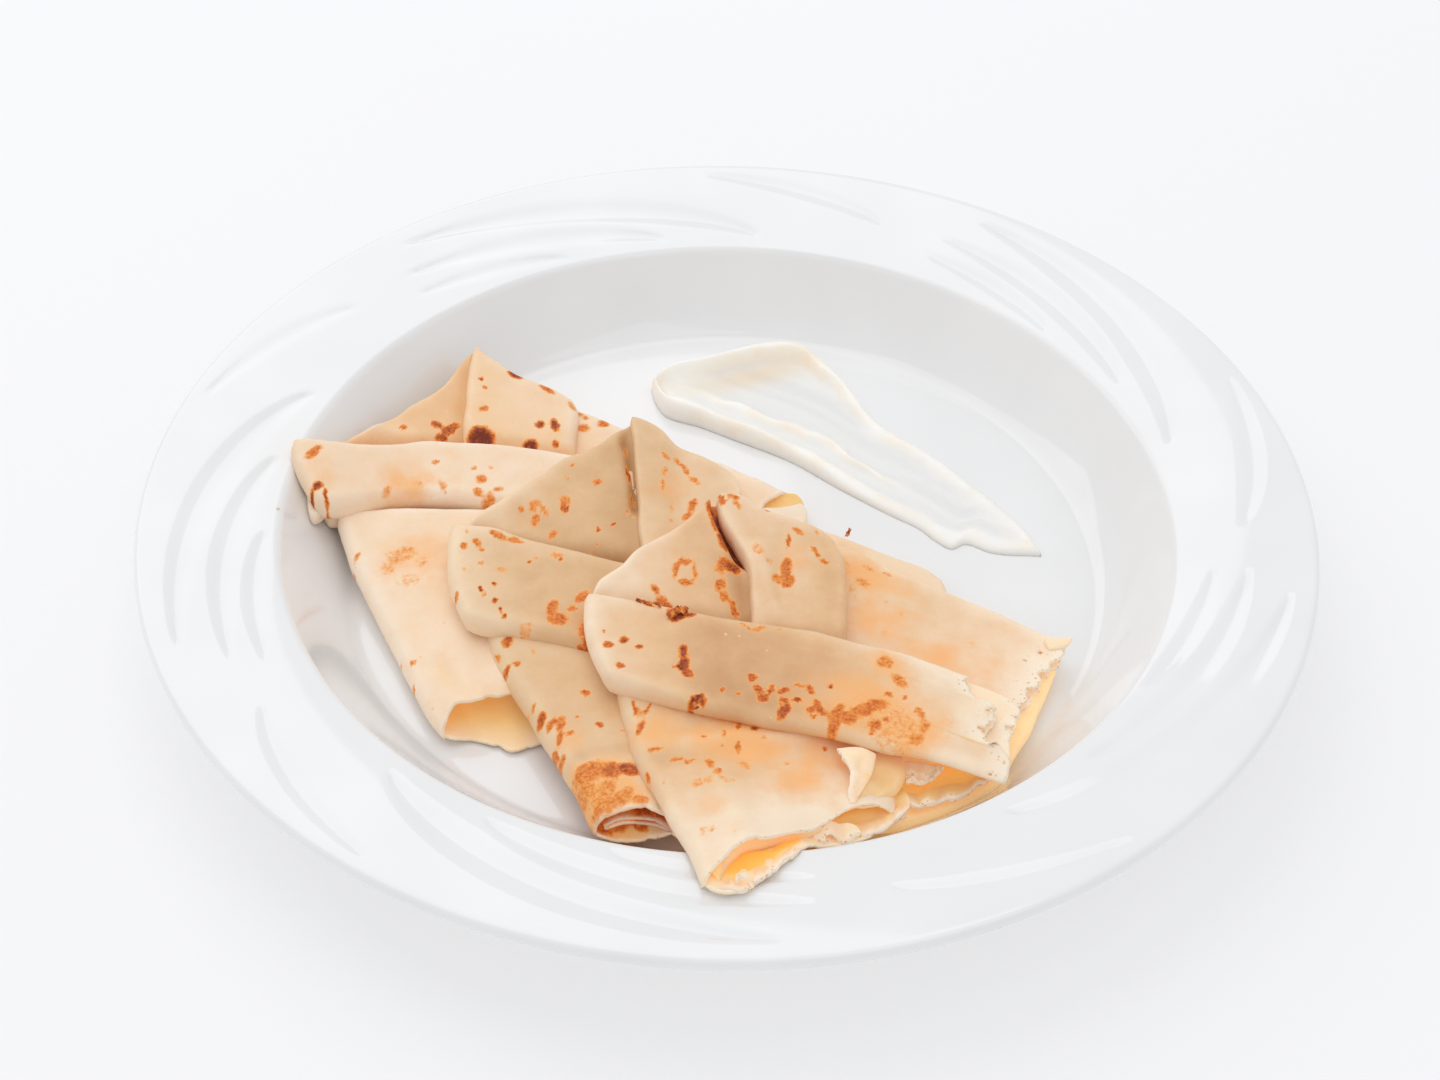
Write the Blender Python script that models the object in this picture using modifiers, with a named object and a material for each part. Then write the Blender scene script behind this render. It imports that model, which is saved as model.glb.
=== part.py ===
"""Three folded crepes on a round plate with a smear of sour cream.

The frame's origin is the middle of the plate's foot, Z points up and -Y is
the side that faces the diner. Lengths in the tables are millimetres, heights
are measured from the floor of the plate's well, and MM turns them to metres.
"""

import math
from dataclasses import dataclass

import bpy
import bmesh

MM = 0.001

# Plate, turned about Z.
RIM_RADIUS = 140.0
LIP_RADIUS = 1.6
SHOULDER_RADIUS = 107.0
WELL_RADIUS = 90.0
FLOOR_TOP = 5.5
SHOULDER_HEIGHT = 18.3
RIM_HEIGHT = 23.4
WALL_THICKNESS = 3.8
FOOT_RADIUS = 84.0
FOOT_WIDTH = 4.5
PLATE_STEPS = 64

# Clearance that a resting piece keeps to the piece under it.
GAP = 0.35

# Crepe sheets.
FOLD_ROUND = 2.6
CAGE_STATIONS = (0.0, 0.5, 1.0)

# Cream smear, from its thick end near the plate's back to its thin tip.
CREAM_START = (-20.5, 68.0)
CREAM_TIP = (77.0, 6.5)
CREAM_FAR_SPREAD = 30.0
CREAM_NEAR_SPREAD = 3.6
CREAM_PEAK = 0.26
CREAM_RIM = 5.0
CREAM_TROUGH = 2.0
CREAM_STATIONS = 10

# Colour, roughness and metallic value of each material.
LOOKS = {
    "porcelain": ((0.86, 0.85, 0.83), 0.12, 0.0),
    "crepe": ((0.80, 0.58, 0.33), 0.55, 0.0),
    "sour_cream": ((0.90, 0.86, 0.78), 0.30, 0.0),
}


@dataclass
class Panel:
    """One layer of a folded crepe, seen from above.

    The corners run clockwise, each as (x, y, top height). Each bend is the
    bow of one edge away from the panel and the lift of its middle, for the
    edges first-second, second-third, third-fourth and fourth-first. Depths
    are how far the layer reaches down at each corner.
    """

    name: str
    corners: tuple
    bends: tuple
    depths: tuple
    puff: float = 0.6


CREPES = {
    "crepe_left": (
        Panel("leg_lower", ((-96, 6, 5), (-46, 8, 5), (-41, -61, 3), (-62.5, -61, 2.5)),
              ((0, 0), (0, 0), (1.5, 0), (0.5, 0)), (12, 12, 6, 6)),
        Panel("leg_upper", ((-97, 8, 13), (-46, 8, 12), (-45, -51, 9), (-62.5, -58, 7)),
              ((0, 0), (0, 0), (-3.5, 1.5), (1, 0)), (18, 12, 2.2, 7)),
        Panel("arm", ((-64, 65, 9), (17.5, 20, 7), (12, -6, 6), (-60, 6, 8)),
              ((1, 0), (1.5, 0), (0, 0), (0, 0)), (14, 12, 12, 14)),
        Panel("facet_left", ((-104, 21, 21), (-66, 67.5, 14.5), (-66, 22, 13), (-96, 5, 15)),
              ((-4.5, -1.5), (-1.5, -0.5), (0, 0), (0, 0)), (14, 14, 10, 12)),
        Panel("facet_right", ((-66.5, 67.5, 16), (-38.5, 52, 10.5), (-37.5, 24, 12), (-66, 26, 14)),
              ((0.8, -0.5), (1, 0), (0, 0), (0, 0)), (6, 6, 6, 6)),
        Panel("band", ((-108, 20.5, 23.5), (-12, 16, 12), (-14, -9, 11), (-100, -2, 17.5)),
              ((9.5, -1), (0, 0), (-8, -0.5), (1.5, 0.5)), (6.5, 6, 6, 7.5), 1.0),
    ),
    "crepe_middle": (
        Panel("leg", ((-58, -32, 12.5), (-8, -36, 13), (-10, -91, 13), (-28, -93.5, 11)),
              ((0, 0), (0, 0), (1, 0), (0.5, -1)), (14, 14, 14, 12), 1.2),
        Panel("arm", ((-22, 33, 9.5), (53, -8, 4.6), (49, -28, 4), (-10, -24, 8)),
              ((0.5, 0), (1.5, 0), (0, 0), (0, 0)), (12, 8, 8, 12)),
        Panel("facet_left", ((-64, -5, 18), (-25, 37.5, 17), (-20, -20, 15), (-52, -25, 14.5)),
              ((1, -1.5), (0.5, -0.5), (0, 0), (0, 0)), (12, 10, 8, 10)),
        Panel("facet_right", ((-25.5, 37.5, 18.5), (4, 16, 12), (-1, -24, 13), (-20, -22, 16)),
              ((2.2, -0.5), (2, 0), (0, 0), (0, 0)), (7, 7, 7, 7)),
        Panel("band", ((-67, -5.5, 20), (8, -22, 15), (6, -50, 13), (-60, -37.5, 16.5)),
              ((0, 0.5), (0, 0), (2, 0), (2, 0.5)), (6, 6, 6, 7), 1.0),
    ),
    "crepe_front": (
        Panel("leg_lower", ((-22, -57, 11), (52, -58, 7), (61, -82, 8.5), (1.5, -124.5, 25)),
              ((0, 0), (0.5, 0), (-5, 0.6), (1.5, -4)), (24, 16, 20, 24)),
        Panel("arm_lower", ((0, 0, 4), (78.5, -33.5, 3.6), (61.5, -79, 6), (0, -70, 8)),
              ((1, 0), (0.5, 0), (0, 0), (0, 0)), (12, 10, 12, 14)),
        Panel("arm_upper", ((-2, 2, 11), (80, -31.5, 9.5), (66, -57, 9), (8, -64, 12)),
              ((1, -1), (1.5, 0), (0, 0), (0, 0)), (12, 7, 8, 12)),
        Panel("leg_upper", ((-24, -55, 18), (38, -72, 15), (38, -91, 16), (-3, -120, 27.5)),
              ((0, 0), (0, 0), (-4.5, 2), (1.8, -5)), (14, 12, 2, 4.4)),
        Panel("facet_left", ((-31.5, -31, 21.5), (-2.5, 4.5, 21.5), (7, -52, 19), (-18, -50, 17)),
              ((2, -1.5), (3.5, -0.5), (0, 0), (0, 0)), (13, 12, 10, 12)),
        Panel("facet_right", ((-2.5, 4.5, 23), (25.5, -5.5, 16.5), (26, -54, 17.5), (6, -54, 20.5)),
              ((1, 0), (1.5, 0), (0, 0), (0, 0)), (7, 9, 8, 6)),
        Panel("band", ((-34.5, -31.5, 24), (54, -51, 18.5), (61, -85, 19), (-26.5, -61.5, 20)),
              ((0.5, 0.5), (1, -1), (2.5, -1), (2, 0.5)), (7, 7, 4, 8), 1.0),
    ),
}


# Scene and helpers.

def clear_scene():
    """Remove every object that the scene holds."""
    for item in list(bpy.data.objects):
        bpy.data.objects.remove(item, do_unlink=True)


def make_collection(name):
    """Add a collection to the scene."""
    collection = bpy.data.collections.new(name)
    bpy.context.scene.collection.children.link(collection)
    return collection


def make_material(name):
    """Make a Principled material from the table of looks."""
    colour, roughness, metallic = LOOKS[name]
    material = bpy.data.materials.new(name)
    material.use_nodes = True
    shader = material.node_tree.nodes["Principled BSDF"]
    shader.inputs["Base Color"].default_value = (*colour, 1.0)
    shader.inputs["Roughness"].default_value = roughness
    shader.inputs["Metallic"].default_value = metallic
    return material


def link_mesh(name, mesh, collection):
    """Make an object for a mesh in a collection."""
    obj = bpy.data.objects.new(name, mesh)
    collection.objects.link(obj)
    return obj


def hide_cutter(obj):
    """Leave a helper solid out of the model."""
    obj.hide_render = True
    obj.display_type = "WIRE"


# Plate.

def wall_height(radius):
    """Height of the well's inner surface at a radius, over its floor."""
    if radius <= WELL_RADIUS:
        return 0.0
    if radius <= SHOULDER_RADIUS:
        s = (radius - WELL_RADIUS) / (SHOULDER_RADIUS - WELL_RADIUS)
        return SHOULDER_HEIGHT * (0.28 * s + 1.16 * s * s - 0.44 * s ** 3)
    s = (radius - SHOULDER_RADIUS) / (RIM_RADIUS - SHOULDER_RADIUS)
    return SHOULDER_HEIGHT + (RIM_HEIGHT - SHOULDER_HEIGHT) * (1.35 * s - 0.35 * s * s)


def plate_top_profile(offset):
    """Points (radius, z) along the plate's upper surface, from the axis out."""
    radii = [0.0, WELL_RADIUS - 6.0]
    steps = 6
    radii += [WELL_RADIUS + (SHOULDER_RADIUS - WELL_RADIUS) * i / steps for i in range(steps)]
    rim = RIM_RADIUS - LIP_RADIUS
    radii += [SHOULDER_RADIUS + (rim - SHOULDER_RADIUS) * i / 4 for i in range(5)]
    return [(r, FLOOR_TOP + wall_height(r) + offset) for r in radii]


def plate_profile():
    """Closed run of the plate's section, from the axis over the rim to the axis."""
    points = plate_top_profile(0.0)
    centre_z = points[-1][1] - LIP_RADIUS
    for i in range(1, 4):
        angle = math.pi / 2 - i * math.pi / 3
        points.append((RIM_RADIUS - LIP_RADIUS + LIP_RADIUS * math.cos(angle),
                       centre_z + LIP_RADIUS * math.sin(angle)))
    under = FLOOR_TOP - WALL_THICKNESS
    for radius in (124.0, SHOULDER_RADIUS + 2.0, 102.0, 97.0, 93.0):
        slope = 0.8 if radius < SHOULDER_RADIUS else 0.2
        drop = WALL_THICKNESS * math.sqrt(1.0 + slope * slope)
        points.append((radius + 0.5, FLOOR_TOP + wall_height(radius) - drop))
    points.append((FOOT_RADIUS + FOOT_WIDTH, 0.9))
    points.append((FOOT_RADIUS + FOOT_WIDTH - 0.8, 0.0))
    points.append((FOOT_RADIUS, 0.0))
    points.append((FOOT_RADIUS - 1.0, under))
    points.append((0.0, under))
    return points


def turn(name, points, steps, collection):
    """Turn a profile of (radius, z) points about Z with a Screw modifier."""
    mesh = bpy.data.meshes.new(name)
    verts = [(r * MM, 0.0, z * MM) for r, z in points]
    mesh.from_pydata(verts, [(i, i + 1) for i in range(len(verts) - 1)], [])
    obj = link_mesh(name, mesh, collection)
    screw = obj.modifiers.new("turn", "SCREW")
    screw.steps = steps
    screw.render_steps = steps
    screw.use_merge_vertices = True
    screw.merge_threshold = 0.00005
    return obj


def build_plate(collection):
    """Make the plate with its well, sloping rim, rounded lip and foot ring."""
    plate = turn("plate", plate_profile(), PLATE_STEPS, collection)
    plate.data.materials.append(make_material("porcelain"))
    return plate


def build_plate_cutter(collection):
    """Make the space that the plate takes, a gap larger on its upper side."""
    points = plate_top_profile(GAP)
    points.append((RIM_RADIUS + 8.0, points[-1][1]))
    points.append((RIM_RADIUS + 8.0, -40.0))
    points.append((0.0, -40.0))
    cutter = turn("plate_space", points, PLATE_STEPS, collection)
    hide_cutter(cutter)
    return cutter


# Crepe layers.

def edge_point(start, end, bend, s):
    """Point at s along a bowed edge; the bow goes to the left of its way."""
    bow, lift = bend
    dx, dy = end[0] - start[0], end[1] - start[1]
    length = math.hypot(dx, dy)
    swell = 4.0 * s * (1.0 - s)
    return (start[0] + dx * s - dy / length * bow * swell,
            start[1] + dy * s + dx / length * bow * swell,
            start[2] + (end[2] - start[2]) * s + lift * swell)


def patch_point(panel, u, v):
    """Point of the surface spanned by a panel's four bowed edges."""
    a, b, c, d = panel.corners
    far = edge_point(a, b, panel.bends[0], u)
    right = edge_point(b, c, panel.bends[1], v)
    near = edge_point(c, d, panel.bends[2], 1.0 - u)
    left = edge_point(d, a, panel.bends[3], 1.0 - v)
    point = []
    for i in range(3):
        ruled = (1 - v) * far[i] + v * near[i] + (1 - u) * left[i] + u * right[i]
        flat = ((1 - u) * (1 - v) * a[i] + u * (1 - v) * b[i]
                + u * v * c[i] + (1 - u) * v * d[i])
        point.append(ruled - flat)
    return point


def stations(length):
    """Cage stations from 0 to 1 with a support line by each rounded edge."""
    rim = min(0.25, FOLD_ROUND / length)
    inner = [rim + (1.0 - 2.0 * rim) * s for s in CAGE_STATIONS]
    return [0.0] + inner + [1.0]


def corner_mean(values, u, v):
    """Mix of four corner values at (u, v)."""
    a, b, c, d = values
    return (1 - u) * (1 - v) * a + u * (1 - v) * b + u * v * c + (1 - u) * v * d


def panel_mesh(name, panel):
    """Make the closed coarse cage of one layer."""
    a, b, c, d = panel.corners
    across = stations(min(math.dist(a[:2], b[:2]), math.dist(c[:2], d[:2])))
    along = stations(min(math.dist(b[:2], c[:2]), math.dist(d[:2], a[:2])))
    bm = bmesh.new()
    top, bottom = {}, {}
    for i, u in enumerate(across):
        for j, v in enumerate(along):
            x, y, h = patch_point(panel, u, v)
            depth = corner_mean(panel.depths, u, v)
            on_edge = i in (0, len(across) - 1) or j in (0, len(along) - 1)
            tuck = 0.28 * min(depth, 2.0 * FOLD_ROUND) if on_edge else 0.0
            swell = panel.puff * 16.0 * u * (1 - u) * v * (1 - v)
            z = FLOOR_TOP + h
            top[i, j] = bm.verts.new((x * MM, y * MM, (z + swell - tuck) * MM))
            bottom[i, j] = bm.verts.new((x * MM, y * MM, (z - depth + tuck) * MM))
    rows, cols = len(across) - 1, len(along) - 1
    for i in range(rows):
        for j in range(cols):
            ring = ((i, j), (i, j + 1), (i + 1, j + 1), (i + 1, j))
            bm.faces.new([top[k] for k in ring])
            bm.faces.new([bottom[k] for k in reversed(ring)])
    border = ([(i, 0) for i in range(rows)] + [(rows, j) for j in range(cols)]
              + [(i, cols) for i in range(rows, 0, -1)] + [(0, j) for j in range(cols, 0, -1)])
    for k, key in enumerate(border):
        following = border[(k + 1) % len(border)]
        bm.faces.new((top[key], top[following], bottom[following], bottom[key]))
    bmesh.ops.recalc_face_normals(bm, faces=bm.faces)
    mesh = bpy.data.meshes.new(name)
    bm.to_mesh(mesh)
    bm.free()
    return mesh


def add_subdivision(obj, levels):
    """Round a coarse cage."""
    soft = obj.modifiers.new("soft", "SUBSURF")
    soft.levels = levels
    soft.render_levels = levels


def add_boolean(obj, operation, operand):
    """Join an object with another or cut it by one.

    The layers of two crepes touch along long shallow lines, where the EXACT
    solver loses the body, so every step here uses MANIFOLD.
    """
    boolean = obj.modifiers.new(operation.lower(), "BOOLEAN")
    boolean.operation = operation
    boolean.solver = "MANIFOLD"
    boolean.object = operand


def evaluated_mesh(obj, name):
    """Copy of an object's mesh with its modifiers applied."""
    graph = bpy.context.evaluated_depsgraph_get()
    mesh = bpy.data.meshes.new_from_object(obj.evaluated_get(graph), depsgraph=graph)
    mesh.name = name
    return mesh


def keep_largest(mesh):
    """Drop the crumbs that a cut leaves beside the main body."""
    bm = bmesh.new()
    bm.from_mesh(mesh)
    left = set(bm.verts)
    groups = []
    while left:
        stack = [left.pop()]
        group = set(stack)
        while stack:
            for edge in stack.pop().link_edges:
                for vert in edge.verts:
                    if vert in left:
                        left.discard(vert)
                        group.add(vert)
                        stack.append(vert)
        groups.append(group)
    groups.sort(key=len, reverse=True)
    extra = [vert for group in groups[1:] for vert in group]
    bmesh.ops.delete(bm, geom=extra, context="VERTS")
    bm.to_mesh(mesh)
    bm.free()


def build_crepe(name, below, plate_space, collection, cutters):
    """Make one crepe from its layers, resting on the plate and on what is under it."""
    layers = make_collection(name + "_layers")
    spaces = make_collection(name + "_space")
    panels = []
    for panel in CREPES[name]:
        layer = link_mesh(name + "_" + panel.name, panel_mesh(panel.name, panel), layers)
        add_subdivision(layer, 1)
        hide_cutter(layer)
        panels.append(layer)
        space = link_mesh(layer.name + "_space", layer.data, spaces)
        add_subdivision(space, 1)
        grow = space.modifiers.new("grow", "DISPLACE")
        grow.strength = GAP * MM
        grow.mid_level = 0.0
        hide_cutter(space)
    body = link_mesh(name + "_stack", panels[0].data, cutters)
    add_subdivision(body, 1)
    for layer in panels[1:]:
        add_boolean(body, "UNION", layer)
    add_boolean(body, "DIFFERENCE", plate_space)
    for space in below:
        for item in space.objects:
            add_boolean(body, "DIFFERENCE", item)
    hide_cutter(body)
    bpy.context.view_layer.update()
    mesh = evaluated_mesh(body, name)
    keep_largest(mesh)
    crepe = link_mesh(name, mesh, collection)
    mesh.materials.clear()
    mesh.materials.append(make_material("crepe"))
    return crepe, spaces


# Cream.

def cream_half_widths(s):
    """Spread of the smear to its far and near side at s along its spine."""
    a = CREAM_PEAK * 2.2
    b = (1.0 - CREAM_PEAK) * 2.2
    shape = (s / CREAM_PEAK) ** a * ((1.0 - s) / (1.0 - CREAM_PEAK)) ** b
    near = math.sin(math.pi * min(1.0, s * 1.05 + 0.02)) ** 0.6
    return 2.0 + CREAM_FAR_SPREAD * shape, 1.2 + CREAM_NEAR_SPREAD * near


def build_cream(collection):
    """Make the smear: a rounded rim around a trough that a spoon has left."""
    dx, dy = CREAM_TIP[0] - CREAM_START[0], CREAM_TIP[1] - CREAM_START[1]
    length = math.hypot(dx, dy)
    nx, ny = -dy / length, dx / length
    bm = bmesh.new()
    across = (-1.0, -0.82, -0.45, 0.0, 0.45, 0.82, 1.0)
    top, bottom = {}, {}
    for i in range(CREAM_STATIONS):
        s = 0.02 + 0.97 * i / (CREAM_STATIONS - 1)
        far, near = cream_half_widths(s)
        middle = (far - near) / 2.0
        half = (far + near) / 2.0
        end = i in (0, CREAM_STATIONS - 1)
        rim = CREAM_RIM * (1.0 - 0.75 * s)
        floor = CREAM_TROUGH * (1.0 - 0.55 * s)
        for j, t in enumerate(across):
            off = middle + half * t
            x = CREAM_START[0] + dx * s + nx * off
            y = CREAM_START[1] + dy * s + ny * off
            crest = math.exp(-((abs(t) - 0.72) / 0.24) ** 2)
            h = floor + (rim - floor) * crest
            if end or abs(t) == 1.0:
                h = 0.35 * h
            low = FLOOR_TOP + GAP
            top[i, j] = bm.verts.new((x * MM, y * MM, (low + max(h, 0.5)) * MM))
            bottom[i, j] = bm.verts.new((x * MM, y * MM, low * MM))
    rows, cols = CREAM_STATIONS - 1, len(across) - 1
    for i in range(rows):
        for j in range(cols):
            ring = ((i, j), (i, j + 1), (i + 1, j + 1), (i + 1, j))
            bm.faces.new([top[k] for k in ring])
            bm.faces.new([bottom[k] for k in reversed(ring)])
    border = ([(i, 0) for i in range(rows)] + [(rows, j) for j in range(cols)]
              + [(i, cols) for i in range(rows, 0, -1)] + [(0, j) for j in range(cols, 0, -1)])
    for k, key in enumerate(border):
        following = border[(k + 1) % len(border)]
        bm.faces.new((top[key], top[following], bottom[following], bottom[key]))
    bmesh.ops.recalc_face_normals(bm, faces=bm.faces)
    mesh = bpy.data.meshes.new("cream_smear")
    bm.to_mesh(mesh)
    bm.free()
    cream = link_mesh("cream_smear", mesh, collection)
    add_subdivision(cream, 1)
    mesh.materials.append(make_material("sour_cream"))
    return cream


def main():
    """Build the plate, the three crepes from the lowest up, and the cream."""
    clear_scene()
    collection = make_collection("folded_crepes")
    cutters = make_collection("cutters")
    build_plate(collection)
    plate_space = build_plate_cutter(cutters)
    below = []
    for name in ("crepe_left", "crepe_middle", "crepe_front"):
        crepe, space = build_crepe(name, below, plate_space, collection, cutters)
        below.append(space)
    build_cream(collection)


if __name__ == "__main__":
    main()
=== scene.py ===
"""Three folded crepes with sour cream on a relief-rimmed porcelain plate, dressed for a studio picture.

Lengths in the tables are millimetres. x runs to the right, y away from the camera, and a height h is
measured from the floor of the plate's well.
"""
import logging
import math
from dataclasses import dataclass
from enum import Enum

import bpy
import numpy as np
from mathutils import Matrix, Vector


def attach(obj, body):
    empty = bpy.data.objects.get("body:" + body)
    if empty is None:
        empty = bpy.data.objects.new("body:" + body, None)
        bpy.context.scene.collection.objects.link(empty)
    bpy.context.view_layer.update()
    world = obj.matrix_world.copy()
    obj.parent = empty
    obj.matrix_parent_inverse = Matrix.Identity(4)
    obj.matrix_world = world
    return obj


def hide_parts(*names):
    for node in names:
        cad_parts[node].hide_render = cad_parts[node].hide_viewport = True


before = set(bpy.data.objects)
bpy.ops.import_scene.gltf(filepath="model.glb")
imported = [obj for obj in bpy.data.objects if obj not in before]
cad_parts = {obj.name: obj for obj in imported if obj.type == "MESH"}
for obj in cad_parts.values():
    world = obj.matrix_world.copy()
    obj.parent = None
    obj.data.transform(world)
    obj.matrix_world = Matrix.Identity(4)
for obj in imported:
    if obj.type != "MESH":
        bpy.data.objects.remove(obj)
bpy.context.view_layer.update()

LOG = logging.getLogger("crepes")
MM = 0.001
FLOOR_TOP = 5.5          # the well's floor above the foot
MIX_AMOUNT, MIX_UNDER, MIX_OVER, MIX_RESULT = 0, 6, 7, 2     # a colour mix node's sockets
PAINTED = ("tone", "toast", "dry", "blush", "inside", "through")     # what a crepe's points carry
GOLDEN = ("#FFE7CB", "#EBC193", "#BC8550")     # the front crepe's skin, from pale to tan

Points = tuple[tuple[float, ...], ...]
Stops = tuple[tuple[float, str], ...]


class Edge(Enum):
    """The four edges of a folded sheet, seen from the camera."""
    FAR = "far"
    NEAR = "near"
    LEFT = "left"
    RIGHT = "right"


FAR, NEAR, LEFT, RIGHT = Edge.FAR, Edge.NEAR, Edge.LEFT, Edge.RIGHT


# Tools

def linear(hex_colour: str) -> tuple[float, float, float, float]:
    """Turn an sRGB hex colour into linear RGBA.

    Args:
        hex_colour: the colour as "#RRGGBB".

    Returns:
        Red, green, blue and alpha from 0 to 1.
    """
    parts = [int(hex_colour[i:i + 2], 16) / 255.0 for i in (1, 3, 5)]
    red, green, blue = (p / 12.92 if p <= 0.04045 else ((p + 0.055) / 1.055) ** 2.4 for p in parts)
    return red, green, blue, 1.0


def feed(tree: bpy.types.NodeTree, node: bpy.types.Node, inputs: dict) -> None:
    """Set or link a node's inputs.

    Args:
        tree: the node's tree.
        node: the node.
        inputs: value or output socket for each input, by name or number.
    """
    for key, value in inputs.items():
        if isinstance(value, bpy.types.NodeSocket):
            tree.links.new(value, node.inputs[key])
        else:
            node.inputs[key].default_value = value


def add_node(tree: bpy.types.NodeTree, kind: str, inputs: dict | None = None,
             **settings: object) -> bpy.types.Node:
    """Add a shader node with its settings, values and links.

    Args:
        tree: the node tree to add to.
        kind: the node's type name.
        inputs: value or output socket for each input, by name or number.
        settings: the node's own properties.

    Returns:
        The new node.
    """
    node = tree.nodes.new(kind)
    for key, value in settings.items():
        setattr(node, key, value)
    feed(tree, node, inputs or {})
    return node


def start_material(name: str, inputs: dict
                   ) -> tuple[bpy.types.Material, bpy.types.NodeTree, bpy.types.Node]:
    """Start a material on its principled shader.

    Args:
        name: the material's name.
        inputs: the shader's values, by the names of its inputs.

    Returns:
        The material, its node tree and its shader.
    """
    material = bpy.data.materials.new(name)
    material.use_nodes = True
    tree = material.node_tree
    shader = tree.nodes["Principled BSDF"]
    feed(tree, shader, inputs)
    return material, tree, shader


def set_ramp(node: bpy.types.Node, stops: Stops) -> None:
    """Give a colour ramp its stops.

    Args:
        node: the ramp node.
        stops: position and hex colour of each stop, in order.
    """
    elements = node.color_ramp.elements
    while len(elements) < len(stops):
        elements.new(0.5)
    for element, (position, colour) in zip(elements, stops):
        element.position = position
        element.color = linear(colour)


def lattice_noise(x: np.ndarray, y: np.ndarray, size: float, seed: int) -> np.ndarray:
    """Smooth noise from -1 to 1 over the plan.

    Args:
        x: places along x in mm.
        y: places along y in mm.
        size: spacing of the lattice in mm.
        seed: which noise.

    Returns:
        One value for each place.
    """
    count = 64
    table = np.random.default_rng(seed).uniform(-1.0, 1.0, (count, count))
    gx, gy = x / size + 17.31, y / size + 9.17
    ix, iy = np.floor(gx).astype(int), np.floor(gy).astype(int)
    fx, fy = gx - ix, gy - iy
    sx, sy = fx * fx * (3 - 2 * fx), fy * fy * (3 - 2 * fy)
    a, b = table[ix % count, iy % count], table[(ix + 1) % count, iy % count]
    c, d = table[ix % count, (iy + 1) % count], table[(ix + 1) % count, (iy + 1) % count]
    return (a * (1 - sx) + b * sx) * (1 - sy) + (c * (1 - sx) + d * sx) * sy


def smooth(value: np.ndarray, low: float, high: float) -> np.ndarray:
    """Smoothstep of value from 0 at low to 1 at high."""
    t = np.clip((value - low) / (high - low), 0.0, 1.0)
    return t * t * (3 - 2 * t)


def oval(x: np.ndarray, y: np.ndarray, middle: tuple[float, float], size: float,
         shape: list[float]) -> np.ndarray:
    """How far each place lies from the middle of an oval.

    Args:
        x: places along x in mm.
        y: places along y in mm.
        middle: x and y of the oval's middle in mm.
        size: radius in mm of a round spot of the same area.
        shape: its stretch and its turn in degrees, or nothing for a round one.

    Returns:
        0 in the middle, 1 on the outline and more outside it.
    """
    stretch, turn = (shape[0], math.radians(shape[1])) if shape else (1.0, 0.0)
    dx, dy = x - middle[0], y - middle[1]
    a = (dx * math.cos(turn) + dy * math.sin(turn)) / (size * math.sqrt(stretch))
    b = (-dx * math.sin(turn) + dy * math.cos(turn)) / (size / math.sqrt(stretch))
    return np.hypot(a, b)


class Rail:
    """A smooth curve through a few points, read by its share of the length."""

    def __init__(self, points: Points) -> None:
        """Lay the curve through the points.

        Args:
            points: x, y and h of each point in mm.
        """
        pts = np.array(points, dtype=float)
        chord = np.linalg.norm(np.diff(pts, axis=0), axis=1)
        knots = np.concatenate([[0.0], np.cumsum(np.maximum(chord, 1e-6))])
        slopes = np.empty_like(pts)
        inner = np.diff(pts, axis=0) / np.diff(knots)[:, None]
        slopes[0], slopes[-1] = inner[0], inner[-1]
        if len(pts) > 2:
            before, after = np.diff(knots)[:-1, None], np.diff(knots)[1:, None]
            slopes[1:-1] = (inner[:-1] * after + inner[1:] * before) / (before + after)
        dense = np.linspace(0.0, knots[-1], 500)
        span = np.clip(np.searchsorted(knots, dense, side="right") - 1, 0, len(pts) - 2)
        width = (knots[span + 1] - knots[span])[:, None]
        t = ((dense - knots[span])[:, None]) / width
        h00, h10 = 2 * t ** 3 - 3 * t ** 2 + 1, t ** 3 - 2 * t ** 2 + t
        h01, h11 = -2 * t ** 3 + 3 * t ** 2, t ** 3 - t ** 2
        self.track = (h00 * pts[span] + h10 * width * slopes[span]
                      + h01 * pts[span + 1] + h11 * width * slopes[span + 1])
        run = np.linalg.norm(np.diff(self.track, axis=0), axis=1)
        along = np.concatenate([[0.0], np.cumsum(run)])
        self.length = float(along[-1])
        self.share = along / self.length

    def at(self, t: np.ndarray) -> np.ndarray:
        """Points of the curve at the given shares of its length, one row each."""
        return np.stack([np.interp(t, self.share, self.track[:, k]) for k in range(3)], axis=-1)


def fractions(length: float, step: float, roll: float, start: bool, end: bool) -> np.ndarray:
    """Places across a sheet, close together where it turns over a fold.

    Args:
        length: width of the sheet in mm.
        step: usual spacing in mm.
        roll: how far a fold's turn reaches in, in mm.
        start: whether the first edge is folded.
        end: whether the last edge is folded.

    Returns:
        Rising fractions from 0 to 1.
    """
    turn = roll * (1 - np.cos(np.linspace(0, math.pi / 2, 7)[:-1]))
    low, high = (roll if start else 0.0), length - (roll if end else 0.0)
    middle = np.linspace(low, high, max(3, int(round((high - low) / step)) + 1))
    parts = ([turn] if start else []) + [middle] + ([length - turn[::-1]] if end else [])
    return np.concatenate(parts) / length


def quads(grid: np.ndarray) -> np.ndarray:
    """The four corners of every cell in a grid of point numbers."""
    return np.stack([grid[:-1, :-1], grid[1:, :-1], grid[1:, 1:], grid[:-1, 1:]], axis=-1)


def both_sheets(grid: np.ndarray) -> np.ndarray:
    """A grid's values for the points of the upper sheet, then the same for the lower one."""
    return np.tile(grid.reshape(-1), 2)


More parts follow.
